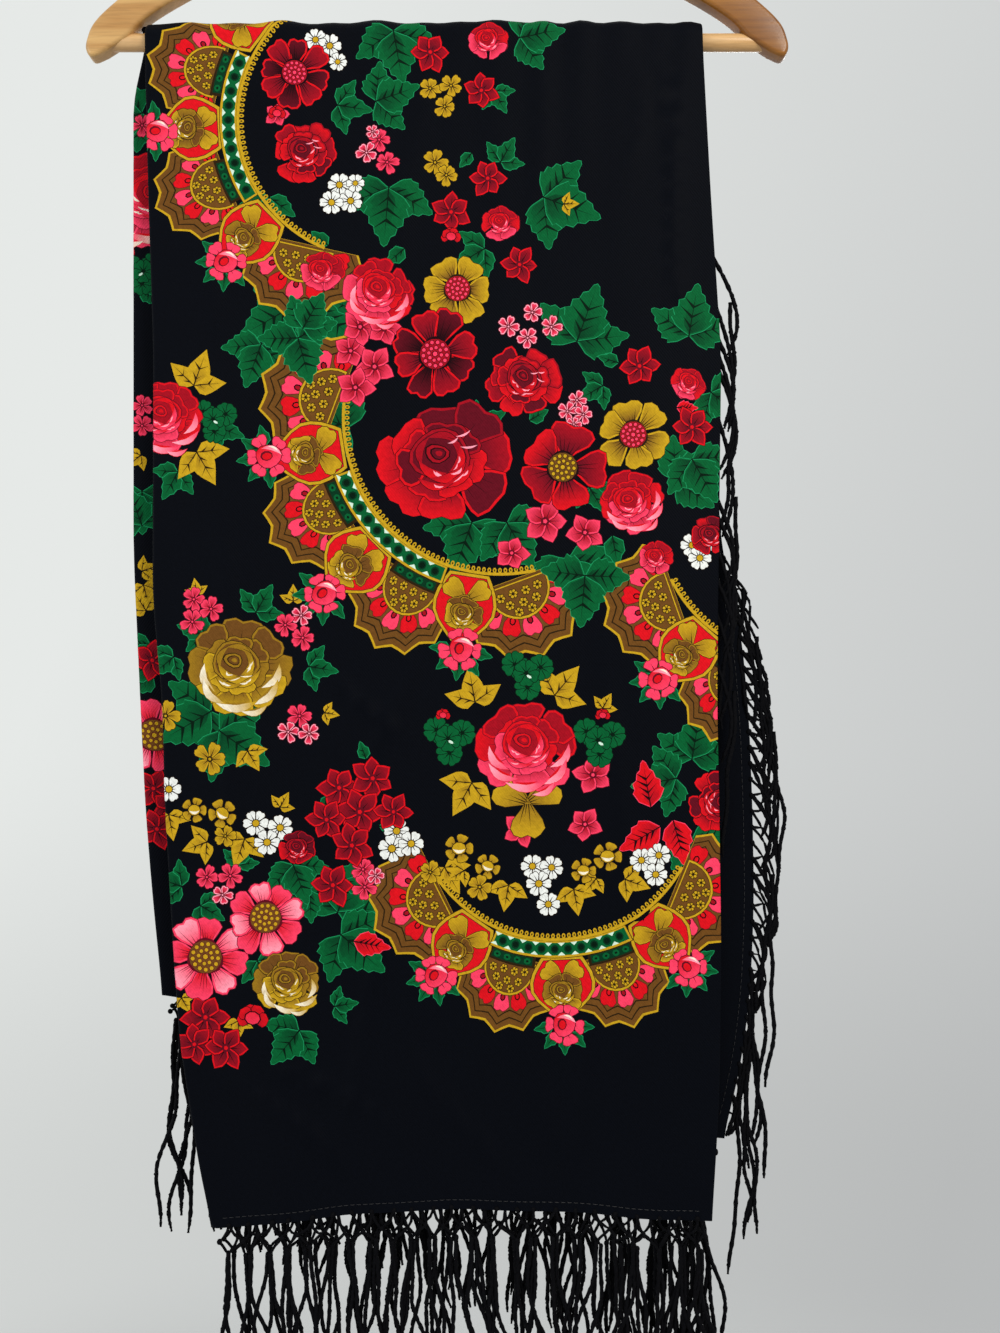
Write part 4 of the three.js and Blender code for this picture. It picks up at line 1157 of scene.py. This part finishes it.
# Turns a mesh of lines into yarn: resampled, twisted, swept with a flattened round, and given its material.
def yarnTree():
    tree, given = newNodeTree("twistedYarn",
                              {"Radius": .001, "Flatness": .7, "Step": .003, "Twist Per Metre": 500.0, "Sides": 6})
    curve = addNode(tree, "GeometryNodeMeshToCurve", Mesh=given["Geometry"])
    even = addNode(tree, "GeometryNodeResampleCurve", {"mode": "LENGTH"}, Curve=curve.outputs["Curve"],
                   Length=given["Step"])
    place = addNode(tree, "GeometryNodeSplineParameter")
    tilt = addNode(tree, "ShaderNodeMath", {"operation": "MULTIPLY"}, at0=place.outputs["Length"],
                   at1=given["Twist Per Metre"])
    twisted = addNode(tree, "GeometryNodeSetCurveTilt", Curve=even.outputs["Curve"], Tilt=tilt.outputs[0])
    taperShare = addNode(tree, "ShaderNodeMapRange", at0=place.outputs["Factor"], at1=.93, at2=1.0, at3=1.0, at4=.55)
    thin = addNode(tree, "GeometryNodeSetCurveRadius", Curve=twisted.outputs["Curve"], Radius=taperShare.outputs[0])
    ring = addNode(tree, "GeometryNodeCurvePrimitiveCircle", Resolution=given["Sides"], Radius=given["Radius"])
    flatten = addNode(tree, "ShaderNodeCombineXYZ", X=1.0, Y=given["Flatness"], Z=1.0)
    oblong = addNode(tree, "GeometryNodeTransform", Geometry=ring.outputs["Curve"], Scale=flatten.outputs[0])
    swept = addNode(tree, "GeometryNodeCurveToMesh", Curve=thin.outputs["Curve"],
                    Profile_Curve=oblong.outputs["Geometry"], Scale=taperShare.outputs[0], Fill_Caps=True)
    soft = addNode(tree, "GeometryNodeSetShadeSmooth", Geometry=swept.outputs["Mesh"])
    real = addNode(tree, "GeometryNodeRealizeInstances", Geometry=soft.outputs["Geometry"])
    painted = addNode(tree, "GeometryNodeSetMaterial", Geometry=real.outputs["Geometry"], Material=given["Material"])
    addNode(tree, "NodeGroupOutput", Geometry=painted.outputs["Geometry"])
    return tree


# Puts a small lump at each point: the knots of the net.
def knotTree():
    tree, given = newNodeTree("yarnKnots", {"Knot Radius": .002, "Seed": 4})
    lump = addNode(tree, "GeometryNodeMeshIcoSphere", Radius=given["Knot Radius"], Subdivisions=2)
    turn = addNode(tree, "FunctionNodeRandomValue", {"data_type": "FLOAT_VECTOR"}, at0=(-.5, -.5, -.5),
                   at1=(.5, .5, .5), Seed=given["Seed"])
    grow = addNode(tree, "FunctionNodeRandomValue", {"data_type": "FLOAT_VECTOR"}, at0=(.8, .8, 1.0),
                   at1=(1.15, 1.05, 1.45), Seed=given["Seed"])
    each = addNode(tree, "GeometryNodeInstanceOnPoints", Points=given["Geometry"], Instance=lump.outputs["Mesh"],
                   Rotation=turn.outputs[0], Scale=grow.outputs[0])
    real = addNode(tree, "GeometryNodeRealizeInstances", Geometry=each.outputs["Instances"])
    soft = addNode(tree, "GeometryNodeSetShadeSmooth", Geometry=real.outputs["Geometry"])
    painted = addNode(tree, "GeometryNodeSetMaterial", Geometry=soft.outputs["Geometry"], Material=given["Material"])
    addNode(tree, "NodeGroupOutput", Geometry=painted.outputs["Geometry"])
    return tree


# Runs a node tree over a plain mesh and returns the realised mesh.
def runTree(tree, vertices, edges, material, inputs):
    mesh = bpy.data.meshes.new("lines")
    mesh.from_pydata([tuple(v) for v in vertices], edges, [])
    holder = placedPiece("lines", mesh)
    modifier = holder.modifiers.new("nodes", "NODES")
    modifier.node_group = tree
    given = {**inputs, "Material": material}
    for item in tree.interface.items_tree:
        if item.item_type == "SOCKET" and item.in_out == "INPUT" and item.name in given:
            modifier[item.identifier] = given[item.name]
    graph = bpy.context.evaluated_depsgraph_get()
    made = bpy.data.meshes.new_from_object(holder.evaluated_get(graph))
    holder.modifiers.remove(modifier)
    bpy.data.objects.remove(holder)
    return made


def joinedPiece(name, meshes):
    objects = [placedPiece(name, mesh) for mesh in meshes]
    if len(objects) > 1:
        with bpy.context.temp_override(active_object=objects[0], object=objects[0], selected_objects=objects,
                                       selected_editable_objects=objects):
            bpy.ops.object.join()
    objects[0].name = name
    return objects[0]


# The black yarn: rayon or wool, two plies twisted; dark with a faint sheen along the twist.
def makeYarnMaterial():
    material, tree = newMaterial("blackTwistedYarn")
    fuzz, shade = noiseTone(tree, 900.0, 3.0, "020203", "0c0c10")
    bump = addNode(tree, "ShaderNodeBump", Strength=.5, Distance=.0004, Height=fuzz)
    shader = addNode(tree, "ShaderNodeBsdfPrincipled", Base_Color=shade, Roughness=.72, Normal=bump.outputs["Normal"],
                     Specular_IOR_Level=.05, Sheen_Weight=.006, Sheen_Roughness=.4)
    finishMaterial(tree, shader.outputs["BSDF"])
    return material


# Printed wool challis: matt, a fine twill that softens the inks, a faint bloom of fibre at grazing angles.
def makeWoolMaterial():
    material, tree = newMaterial("printedWoolChallis")
    flat = addNode(tree, "ShaderNodeUVMap", {"uv_map": "flatCloth"})
    ink = addNode(tree, "ShaderNodeAttribute", {"attribute_name": "ink"})
    mottle = addNode(tree, "ShaderNodeTexNoise", Vector=flat.outputs["UV"], Scale=420.0, Detail=4.0)
    cloud = addNode(tree, "ShaderNodeTexNoise", Vector=flat.outputs["UV"], Scale=14.0, Detail=2.0)
    # the real twill is 0.5 mm; drawn at 1.4 mm so that it shows
    turned = addNode(tree, "ShaderNodeMapping", Vector=flat.outputs["UV"], Rotation=(0, 0, math.radians(38)))
    twill = addNode(tree, "ShaderNodeTexWave", {"wave_type": "BANDS"}, Vector=turned.outputs["Vector"], Scale=225.0,
                    Distortion=1.5, Detail=2.0, Detail_Scale=2.0)
    share = addNode(tree, "ShaderNodeMapRange", at0=mottle.outputs["Fac"], at1=.3, at2=.7, at3=.86, at4=1.1)
    tone = addNode(tree, "ShaderNodeMix", {"data_type": "RGBA", "blend_type": "MULTIPLY"}, at0=1.0,
                   at6=ink.outputs["Color"], at7=share.outputs[0])
    height = addNode(tree, "ShaderNodeMath", {"operation": "MULTIPLY_ADD"}, at0=mottle.outputs["Fac"], at1=.6,
                     at2=twill.outputs["Fac"])
    weave = addNode(tree, "ShaderNodeBump", Strength=.35, Distance=.00025, Height=height.outputs[0])
    relief = addNode(tree, "ShaderNodeBump", Strength=.25, Distance=.004, Height=cloud.outputs["Fac"],
                     Normal=weave.outputs["Normal"])
    # the nap is brushed up more in some places than in others
    nap = addNode(tree, "ShaderNodeMapRange", at0=cloud.outputs["Fac"], at1=.38, at2=.62, at3=.002, at4=.024)
    shader = addNode(tree, "ShaderNodeBsdfPrincipled", Base_Color=tone.outputs[2], Roughness=.62,
                     Normal=relief.outputs["Normal"],
                     Specular_IOR_Level=.045, Sheen_Weight=nap.outputs[0], Sheen_Roughness=.35)
    finishMaterial(tree, shader.outputs["BSDF"])
    return material


# Black sewing thread: smooth mercerised cotton, a small bright line on each stitch.
def makeThreadMaterial():
    material, tree = newMaterial("blackCottonThread")
    shade = noiseTone(tree, 2400.0, 2.0, "0a0a0d", "1b1b21")[1]
    shader = addNode(tree, "ShaderNodeBsdfPrincipled", Base_Color=shade, Roughness=.45)
    finishMaterial(tree, shader.outputs["BSDF"])
    return material


yarnMaterial = makeYarnMaterial()
threadMaterial = makeThreadMaterial()
woolMaterial = makeWoolMaterial()
for piece in (shawlFront, shawlBack, coreFront, coreBack):
    piece.data.materials.append(woolMaterial)

fringe = {
    "pitch": 12.5,
    "netHeight": 18.0,
    "strand": 138.0,
    "yarn": {"Radius": .0016, "Flatness": .76, "Step": .0026, "Twist Per Metre": 480.0, "Sides": 6},
    "net": {"Radius": .00105, "Flatness": .85, "Step": .003, "Twist Per Metre": 520.0, "Sides": 5},
    "knots": {"Knot Radius": .0016, "Seed": 7},
    "stitches": {"Radius": .00028, "Flatness": .9, "Step": .0013, "Twist Per Metre": 300.0, "Sides": 4},
}
yarnNodes, knotNodes = yarnTree(), knotTree()


class Lines:
    def __init__(self):
        self.vertices, self.edges, self.knots = [], [], []

    def add(self, line):
        base = len(self.vertices)
        self.vertices.extend(line)
        self.edges.extend((base + i, base + i + 1) for i in range(len(line) - 1))


def hemPoint(half, plyDistance, x, lower, out=0.0):
    drop0 = float(hemDrop(half, 0.5))
    left, right, _ = edgesAt(half, drop0)
    across = (x - left) / (right - left)
    drop = float(hemDrop(half, across))
    depth = float(foldDepth(half, np.array(x), np.array(across), np.array(drop)))
    return np.array([x, half["side"] * (plyDistance + depth + out), -cloth["barDepth"] - drop - lower]) / 1000


# One strand hanging from a knot: it wanders, drifts and curls a little at its end.
def strand(start, length, luck, drift, side, sway=1.0):
    count = 18
    phase, second = luck.uniform(0, 6.3), luck.uniform(0, 6.3)
    wave, slow = luck.uniform(1.0, 3.0) * sway, luck.uniform(3, 9) * sway
    line = []
    for k in range(count + 1):
        t = k / count
        swing = slow * (math.sin(t * 3.6 + phase) - math.sin(phase)) * min(t * 2, 1)
        dx = drift * t + swing + wave * math.sin(t * 13 + second) * min(t * 3, 1)
        dy = side * (luck.uniform(-.2, .2) + 1.1 * math.sin(t * 6 + second) * t)
        line.append(start + np.array([dx, dy, -length * t]) / 1000)
    return line


# A loop of the net between two knots, bowed to one side.
def loopLine(top, low, bow, out):
    line = []
    for k in range(7):
        t = k / 6
        lean = math.sin(math.pi * t)
        line.append(top * (1 - t) + low * t + np.array([bow * lean, out * lean, -.5 * abs(bow) * lean]) / 1000)
    return line


# The hem's strands swing together in bunches, the same for every ply.
bunchLuck = random.Random(4)
bunches = [-174 + 21 * k + bunchLuck.uniform(-7, 7) for k in range(18)]


def hemFringe(half, plyDistance, fromX, toX, lines, thin, luck, rows=2):
    count = int((toX - fromX) / fringe["pitch"])
    pitch = (toX - fromX) / count
    side = half["side"]
    places = [[fromX + pitch * (i + .5) + luck.uniform(-1.5, 1.5) for i in range(count)]]
    places.append([fromX + pitch * i + luck.uniform(-2.4, 2.4) for i in range(count + 1)])
    if rows > 1:
        places.append([fromX + pitch * (i + .5) + luck.uniform(-3, 3) for i in range(count)])
    knots = []
    for row, across in enumerate(places):
        low = 0 if row == 0 else fringe["netHeight"] * row / rows
        knots.append([hemPoint(half, plyDistance, x, low + (luck.uniform(-2.4, 2.4) if row else -1), .4 * (row % 2))
                      for x in across])
        thin.knots.extend(knots[-1])
    for row in range(1, len(places)):
        for i, knot in enumerate(knots[row]):
            for k in (i - 1, i) if row % 2 else (i, i + 1):
                if 0 <= k < len(knots[row - 1]) and luck.random() > .06:
                    thin.add(loopLine(knots[row - 1][k], knot, luck.uniform(.6, 2.4) * (1 if k == i else -1),
                                      side * .5))
    for knot in knots[-1]:
        nearest = min(bunches, key=lambda place: abs(place - knot[0] * 1000))
        pull = (nearest - knot[0] * 1000) * luck.uniform(.35, .9)
        strands = 2 if luck.random() < .3 or knot[0] * 1000 > toX - 26 else 1
        for _ in range(strands):
            lines.add(strand(knot, fringe["strand"] * luck.uniform(.84, 1.0), luck, pull + luck.uniform(-4, 4), side))


def sidePoint(half, drop, out, lift=0.0):
    left, right, free = edgesAt(half, drop)
    x = float(free) + out
    across = (x - float(left)) / float(right - left)
    depth = float(foldDepth(half, np.array(x), np.array(across), np.array(float(drop))))
    return np.array([x, half["side"] * (cloth["innerPly"] + depth + lift), -cloth["barDepth"] - drop]) / 1000


# Along a free side edge the net hangs slack against the cloth, in loops of many sizes.
def sideFringe(half, fromDrop, toDrop, reach, lines, thin, luck, every=1):
    count = int((toDrop - fromDrop) / 10)
    pitch = (toDrop - fromDrop) / count
    side = half["side"]

    def at(place, out, lift=0.0):
        return sidePoint(half, fromDrop + pitch * min(max(place, 0), count + 1.5), out, lift)

    for i in range(count):
        thin.knots.append(at(i, -.4))
        share = .35 + .65 * math.sin(math.pi * min((i + 1) / count * 1.3, 1)) ** .5 if every == 1 else 1.0
        if every == 1:  # the slack net itself
            knot = at(i + luck.uniform(.7, 1.4), reach * share * luck.uniform(.3, .55), luck.uniform(-.6, .6))
            thin.add(loopLine(at(i, -.5), knot, luck.uniform(.2, 1.6), side * .4))
            if luck.random() < .8:
                thin.add(loopLine(at(i + 1, -.5), knot, luck.uniform(-.4, 1.4), -side * .4))
            low = at(i + luck.uniform(2.0, 3.2), reach * share * luck.uniform(.6, 1.0), luck.uniform(-.8, .8))
            thin.add(loopLine(knot, low, luck.uniform(-.6, 2.6), side * .5))
            if luck.random() < .5:
                end = at(i + luck.uniform(3.4, 4.6), reach * share * luck.uniform(.2, .7), luck.uniform(-.6, .6))
                thin.add(loopLine(low, end, luck.uniform(.2, 2.2), side * .5))
        # long yarns that leave the edge and come back to it
        if luck.random() < .55 / every ** .5 or (every > 1 and i % 5 == 0):
            end = at(i + luck.uniform(3.5, 8), reach * share * luck.uniform(.1, .5), luck.uniform(-.8, .8))
            lines.add(loopLine(at(i, 0), end, reach * share * luck.uniform(.5, .85), side * .8))
        if i % (3 * every) == every or (every == 1 and i > count - 8):
            lines.add(strand(at(i + 1, reach * share * luck.uniform(.5, 1.0)), luck.uniform(76, 112), luck,
                             luck.uniform(-3, 2), side, .6))


def makeFringe(name, builders, nodes):
    lines, thin = Lines(), Lines()
    luck = random.Random(len(name) * 31 + 5)
    for build in builders:
        build(lines, thin, luck)
    meshes = [
        runTree(yarnNodes, lines.vertices, lines.edges, yarnMaterial, fringe["yarn"]),
        runTree(yarnNodes, thin.vertices, thin.edges, yarnMaterial, fringe["net"]),
        runTree(knotNodes, thin.knots, [], yarnMaterial, fringe["knots"]),
    ]
    piece = dress(joinedPiece(name, meshes), "fringe_yarn", *nodes)
    print(name, "has", len(piece.data.polygons), "faces")
    return piece


fringeFront = makeFringe("fringe_front", [
    lambda lines, thin, luck: hemFringe(frontHalf, cloth["outerPly"], -136, 170, lines, thin, luck),
    lambda lines, thin, luck: hemFringe(frontHalf, cloth["thirdPly"], -132, 166, lines, thin, luck, 1),
    lambda lines, thin, luck: hemFringe(frontHalf, cloth["innerPly"], -134, 166, lines, thin, luck),
], ["fringe_front_outer", "fringe_front_inner"])
fringeBack = makeFringe("fringe_back", [
    lambda lines, thin, luck: hemFringe(backHalf, cloth["outerPly"], -172, 172, lines, thin, luck),
    lambda lines, thin, luck: hemFringe(backHalf, cloth["thirdPly"], -168, 170, lines, thin, luck, 1),
    lambda lines, thin, luck: hemFringe(backHalf, cloth["innerPly"], -171, 179, lines, thin, luck),
], ["fringe_back_outer", "fringe_back_inner"])
fringeSide = makeFringe("fringe_side", [
    lambda lines, thin, luck: sideFringe(frontHalf, 136, 442, 14, lines, thin, luck, 2),
    lambda lines, thin, luck: sideFringe(backHalf, 326, 681, 17, lines, thin, luck, 1),
], ["fringe_side_front", "fringe_side_back"])


# The hem's stitching: short dashes of thread a little above the edges, raised on the printed face.
def stitchLine(name, half, places):
    lines = Lines()
    dash, gap = 2.6, 1.3
    for (a0, d0), (a1, d1) in zip(places[:-1], places[1:]):
        length = math.hypot(a1 - a0, d1 - d0)
        count = max(1, int(length / (dash + gap)))
        for k in range(count):
            line = []
            for share, lift in ((0, .1), (.5, .42), (1, .1)):
                t = (k + share * dash / (dash + gap)) / count
                line.append(drape(half, outerPlies, a0 + (a1 - a0) * t, d0 + (d1 - d0) * t,
                                  cloth["thickness"] / 2 + lift))
            lines.add(line)
    thread = runTree(yarnNodes, lines.vertices, lines.edges, threadMaterial, fringe["stitches"])
    dress(joinedPiece(name, [thread]), "fringe_yarn")


def hemPlaces(half, fromX, toX, above):
    places = []
    left, right, _ = edgesAt(half, float(hemDrop(half, .5)))
    for x in np.arange(fromX, toX, 20.0):
        places.append((x, float(hemDrop(half, (x - left) / (right - left))) + overBar - above))
    return places


def freeEdgePlaces(half, fromDrop, toDrop, inside):
    places = []
    fold = math.pi * (outerPlies[1] - outerPlies[0]) / 2
    for drop in np.arange(fromDrop, toDrop, 16.0):
        left, _, free = edgesAt(half, drop)
        places.append((float(left - fold - (free - left)) + inside, drop + overBar))
    return places


stitchLine("stitches_front", frontHalf, hemPlaces(frontHalf, -134, 168, 6))
stitchLine("stitches_back", backHalf, hemPlaces(backHalf, -168, 170, 6))
stitchLine("stitches_back_side", backHalf, freeEdgePlaces(backHalf, 60, 690, 6))
print("fringe made")


# the hanger
hanger = {
    "armDepth": 14.0,
    "edgeRound": 2.6,
    "upper": [(0.15, -68), (60, -76), (120, -98), (168, -126), (201, -152.6), (216, -167), (221, -178),
              (221.5, -185), (218, -189), (210, -186)],
    "lower": [(196, -177), (184, -165), (160, -150), (110, -124), (58, -105.5), (0.15, -99)],
    "barRadius": 5.5,
    "barHalf": 207.5,
    "wire": {"Radius": .002, "Flatness": 1.0, "Step": .0016, "Twist Per Metre": 0.0, "Sides": 18},
    "stem": [(0, -96), (0, -68), (0, -56), (2, -47), (8.5, -38.5)],
    "bendRadius": 20,
    "bendMiddle": -18,
    "bendAngles": (-34, -10, 15, 40, 65, 90, 115, 140, 165, 190, 205),
}


def curveThrough(points, steps):
    points = [np.array(p, float) for p in points]
    ends = [2 * points[0] - points[1]] + points + [2 * points[-1] - points[-2]]
    line = []
    for i in range(1, len(ends) - 2):
        a, b, c, d = ends[i - 1:i + 3]
        for k in range(steps):
            t = k / steps
            line.append(.5 * ((2 * b) + (c - a) * t + (2 * a - 5 * b + 4 * c - d) * t**2 + (3 * b - a - 3 * c + d)
                              * t**3))
    return line + [points[-1]]


# A closed mesh with its normals outwards, smooth but for its sharp edges.
def solidPiece(name, vertices, faces, material):
    mesh = bpy.data.meshes.new(name)
    mesh.from_pydata(vertices, [], faces)
    work = bmesh.new()
    work.from_mesh(mesh)
    bmesh.ops.remove_doubles(work, verts=work.verts, dist=1e-7)
    bmesh.ops.recalc_face_normals(work, faces=work.faces)
    bmesh.ops.triangulate(work, faces=[f for f in work.faces if len(f.verts) > 4])
    work.to_mesh(mesh)
    work.free()
    mesh.materials.append(material)
    mesh.shade_smooth()
    mesh.set_sharp_from_angle(angle=math.radians(40))
    return placedPiece(name, mesh)


def hangerArm(name, side, material):
    inset = hanger["edgeRound"]
    outline = np.array(curveThrough(hanger["upper"], 8) + curveThrough(hanger["lower"], 8))
    nextP, lastP = np.roll(outline, -1, axis=0), np.roll(outline, 1, axis=0)
    along = nextP - lastP
    along /= np.linalg.norm(along, axis=1, keepdims=True)
    inward = np.column_stack([along[:, 1], -along[:, 0]])
    inward[outline[:, 0] < 1] = 0
    rings = []
    half = hanger["armDepth"] / 2
    for k in range(6):  # rounded edge, front to side, and the same behind
        a = math.radians(90 - 90 * k / 5)
        rings.append((inset * (1 - math.cos(a)), -(half - inset + inset * math.sin(a))))
    rings += [(shrink, -out) for shrink, out in rings[::-1]]
    vertices, faces = [], []
    count = len(outline)
    for shrink, y in rings:
        for p in outline + inward * shrink:
            vertices.append((side * p[0] / 1000, y / 1000, p[1] / 1000))
    for r in range(len(rings) - 1):
        for i in range(count):
            j = (i + 1) % count
            faces.append((r * count + i, r * count + j, (r + 1) * count + j, (r + 1) * count + i))
    faces.append(tuple(range(count))[::-1])
    faces.append(tuple((len(rings) - 1) * count + i for i in range(count)))
    return solidPiece(name, vertices, faces, material)


# Closed form turned about an axis: rows of radius and place along it.
def lathe(name, rows, axis, count, material, closed=False):
    vertices, faces = [], []
    for radius, along in rows:
        for k in range(count):
            a = 2 * math.pi * k / count
            c, s = radius * math.cos(a), radius * math.sin(a)
            vertices.append([v / 1000 for v in ((along, c, s - cloth["barDepth"]) if axis == "x" else (c, s, along))])
    for r in range(len(rows) - (0 if closed else 1)):
        q = (r + 1) % len(rows)
        for k in range(count):
            j = (k + 1) % count
            faces.append((r * count + k, r * count + j, q * count + j, q * count + k))
    if not closed:
        faces.append(tuple(range(count))[::-1])
        faces.append(tuple((len(rows) - 1) * count + k for k in range(count)))
    return solidPiece(name, vertices, faces, material)


# Varnished hardwood: satin, pale, with long darker grain lines that follow the arm and small pores.
def makeWoodMaterial(name, pale, grain, degrees):
    material, tree = newMaterial(name)
    place = addNode(tree, "ShaderNodeTexCoord")
    mapped = addNode(tree, "ShaderNodeMapping", Vector=place.outputs["Object"],
                     Rotation=(0, math.radians(degrees), 0), Scale=(1.0, 9.0, 14.0))
    rings = addNode(tree, "ShaderNodeTexNoise", Vector=mapped.outputs["Vector"], Scale=9.0, Detail=4.0, Distortion=.6)
    pores = addNode(tree, "ShaderNodeTexNoise", Vector=mapped.outputs["Vector"], Scale=60.0, Detail=2.0)
    colour = addNode(tree, "ShaderNodeValToRGB", Fac=rings.outputs["Fac"])
    colour.color_ramp.elements[0].position = .32
    colour.color_ramp.elements[0].color = linear(grain)
    colour.color_ramp.elements[1].position = .66
    colour.color_ramp.elements[1].color = linear(pale)
    dim = addNode(tree, "ShaderNodeMapRange", at0=pores.outputs["Fac"], at1=.35, at2=.55, at3=.88, at4=1.0)
    tone = addNode(tree, "ShaderNodeMix", {"data_type": "RGBA", "blend_type": "MULTIPLY"}, at0=1.0,
                   at6=colour.outputs["Color"], at7=dim.outputs[0])
    bump = addNode(tree, "ShaderNodeBump", Strength=.12, Distance=.0004, Height=pores.outputs["Fac"])
    shader = addNode(tree, "ShaderNodeBsdfPrincipled", Base_Color=tone.outputs[2], Roughness=.34,
                     Normal=bump.outputs["Normal"],
                     Specular_IOR_Level=.35, Coat_Weight=.16, Coat_Roughness=.18)
    finishMaterial(tree, shader.outputs["BSDF"])
    return material


# Nickel-plated steel wire: bright, slightly brushed along the bend.
def makeWireMaterial():
    material, tree = newMaterial("nickelPlatedSteel")
    marks, tone = noiseTone(tree, 700.0, 3.0, "b4b6b8", "d2d3d4")
    rough = addNode(tree, "ShaderNodeMapRange", at0=marks, at1=.3, at2=.7, at3=.2, at4=.36)
    shader = addNode(tree, "ShaderNodeBsdfPrincipled", Base_Color=tone, Metallic=1.0, Roughness=rough.outputs[0])
    finishMaterial(tree, shader.outputs["BSDF"])
    return material


leftWood = makeWoodMaterial("varnishedPaleBeech", "d0a568", "b5854b", 28)
rightWood = makeWoodMaterial("varnishedHoneyBeech", "96601c", "754512", -28)
barWood = makeWoodMaterial("turnedBeechDowel", "d8ae78", "bd8c52", 0)
wireMaterial = makeWireMaterial()
armLeft = hangerArm("arm_left", -1, leftWood)
armRight = hangerArm("arm_right", 1, rightWood)
r, half = hanger["barRadius"], hanger["barHalf"]
roundedEnd = [(1.2, 0), (.3, .5), (0, 1.4)]  # how far in from the side, how far in from the end
plain = 2 * (half - roundedEnd[-1][1])
barRows = [(r - less, -half + away) for less, away in roundedEnd]
barRows += [(r, -half + 1.4 + k * plain / 12) for k in range(1, 12)]
barRows += [(r - less, half - away) for less, away in reversed(roundedEnd)]
bar = lathe("bar", barRows, "x", 40, barWood)
collar = [(2.3, -67.7), (5.8, -67.7), (6.0, -67.4), (5.7, -66.6), (5.1, -65.5), (4.9, -65.3), (2.3, -65.3)]
ferrule = lathe("ferrule", collar, "z", 40, wireMaterial, True)
bend = [polar(hanger["bendRadius"], a) for a in hanger["bendAngles"]]
wireLine = curveThrough(hanger["stem"] + [(x, hanger["bendMiddle"] + z) for x, z in bend], 6)
wireEdges = [(i, i + 1) for i in range(len(wireLine) - 1)]
wire = runTree(yarnNodes, [(x / 1000, 0, z / 1000) for x, z in wireLine], wireEdges, wireMaterial, hanger["wire"])
hook = joinedPiece("hook", [wire])
dress(armLeft, "hanger_wood", "hanger_arm_left")
dress(armRight, "hanger_wood", "hanger_arm_right")
dress(bar, "hanger_wood", "hanger_bar")
dress(hook, "hook_metal", "hanger_hook")
dress(ferrule, "hook_metal", "hanger_ferrule")
print("hanger made")

dress(shawlFront, "printed_wool", "front_outer")
dress(shawlBack, "printed_wool", "back_outer")
dress(coreFront, "printed_wool", "front_core")
dress(coreBack, "printed_wool", "back_core")


# floor and light
def makeFloor():
    material, tree = newMaterial("paleMattFloor")
    place = addNode(tree, "ShaderNodeTexCoord")
    grain = addNode(tree, "ShaderNodeTexNoise", Vector=place.outputs["Object"], Scale=60.0, Detail=3.0)
    colour = addNode(tree, "ShaderNodeValToRGB", Fac=grain.outputs["Fac"])
    colour.color_ramp.elements[0].color = linear("b3b5b5")
    colour.color_ramp.elements[1].color = linear("b8baba")
    shader = addNode(tree, "ShaderNodeBsdfPrincipled", Base_Color=colour.outputs["Color"], Roughness=.9)
    # it melts into the wall's tone before its rim
    flat = addNode(tree, "ShaderNodeVectorMath", {"operation": "MULTIPLY"}, at0=place.outputs["Object"],
                   at1=(1, 1, 0))
    reach = addNode(tree, "ShaderNodeVectorMath", {"operation": "LENGTH"}, at0=flat.outputs[0])
    fade = addNode(tree, "ShaderNodeMapRange", {"interpolation_type": "SMOOTHSTEP"}, at0=reach.outputs["Value"],
                   at1=.3, at2=.88)
    clear = addNode(tree, "ShaderNodeBsdfTransparent")
    melted = addNode(tree, "ShaderNodeMixShader", at0=fade.outputs[0], at1=shader.outputs["BSDF"],
                     at2=clear.outputs[0])
    finishMaterial(tree, melted.outputs[0])
    mesh = bpy.data.meshes.new("floor")
    ring = [(.9 * math.cos(2 * math.pi * k / 96), .9 * math.sin(2 * math.pi * k / 96), -1.3) for k in range(96)]
    mesh.from_pydata(ring, [], [tuple(range(96))])
    mesh.materials.append(material)
    placedPiece("floor", mesh)


def addLight(name, place, towards, size, power, colour):
    lamp = bpy.data.lights.new(name, "AREA")
    lamp.shape = "DISK"
    lamp.size = size
    lamp.energy = power
    lamp.color = linear(colour)[:3]
    light = bpy.data.objects.new(name, lamp)
    light.location = place
    light.rotation_euler = (Vector(towards) - Vector(place)).to_track_quat("-Z", "Y").to_euler()
    scene.collection.objects.link(light)


makeFloor()
addLight("windowLight", (1.1, -1.5, .5), (0, 0, -.5), 1.0, 26, "fffaf2")
addLight("roomLight", (-1.6, -1.2, -.1), (0, 0, -.6), 1.4, 10, "eef3ff")
addLight("backLight", (.4, 1.7, .2), (0, 0, -.5), 1.2, 14, "ffffff")
world = bpy.data.worlds.new("room")
scene.world = world
world.use_nodes = True
# a pale wall, lighter towards the window
sky = world.node_tree
way = addNode(sky, "ShaderNodeTexCoord")
parts = addNode(sky, "ShaderNodeSeparateXYZ", Vector=way.outputs["Generated"])
lean = addNode(sky, "ShaderNodeMath", {"operation": "MULTIPLY_ADD"}, at0=parts.outputs["Z"], at1=-.35,
               at2=parts.outputs["X"])
share = addNode(sky, "ShaderNodeMapRange", at0=lean.outputs[0], at1=-.32, at2=.42, at3=0.0, at4=1.0)
pale = addNode(sky, "ShaderNodeMix", {"data_type": "RGBA"}, at0=share.outputs[0], at6=linear("e6e9e7"),
               at7=linear("c6c8c8"))
sky.links.new(pale.outputs[2], sky.nodes["Background"].inputs["Color"])
# dimmer below the horizon: painted shade of the lower wall, which also lights the scene a little less from below
dim = addNode(sky, "ShaderNodeMapRange", {"interpolation_type": "SMOOTHSTEP"}, at0=parts.outputs["Z"], at1=-.36,
              at2=-.04, at3=.85, at4=1.0)
sky.links.new(dim.outputs[0], sky.nodes["Background"].inputs["Strength"])
scene.view_settings.view_transform = "Standard"

bpy.context.view_layer.update()
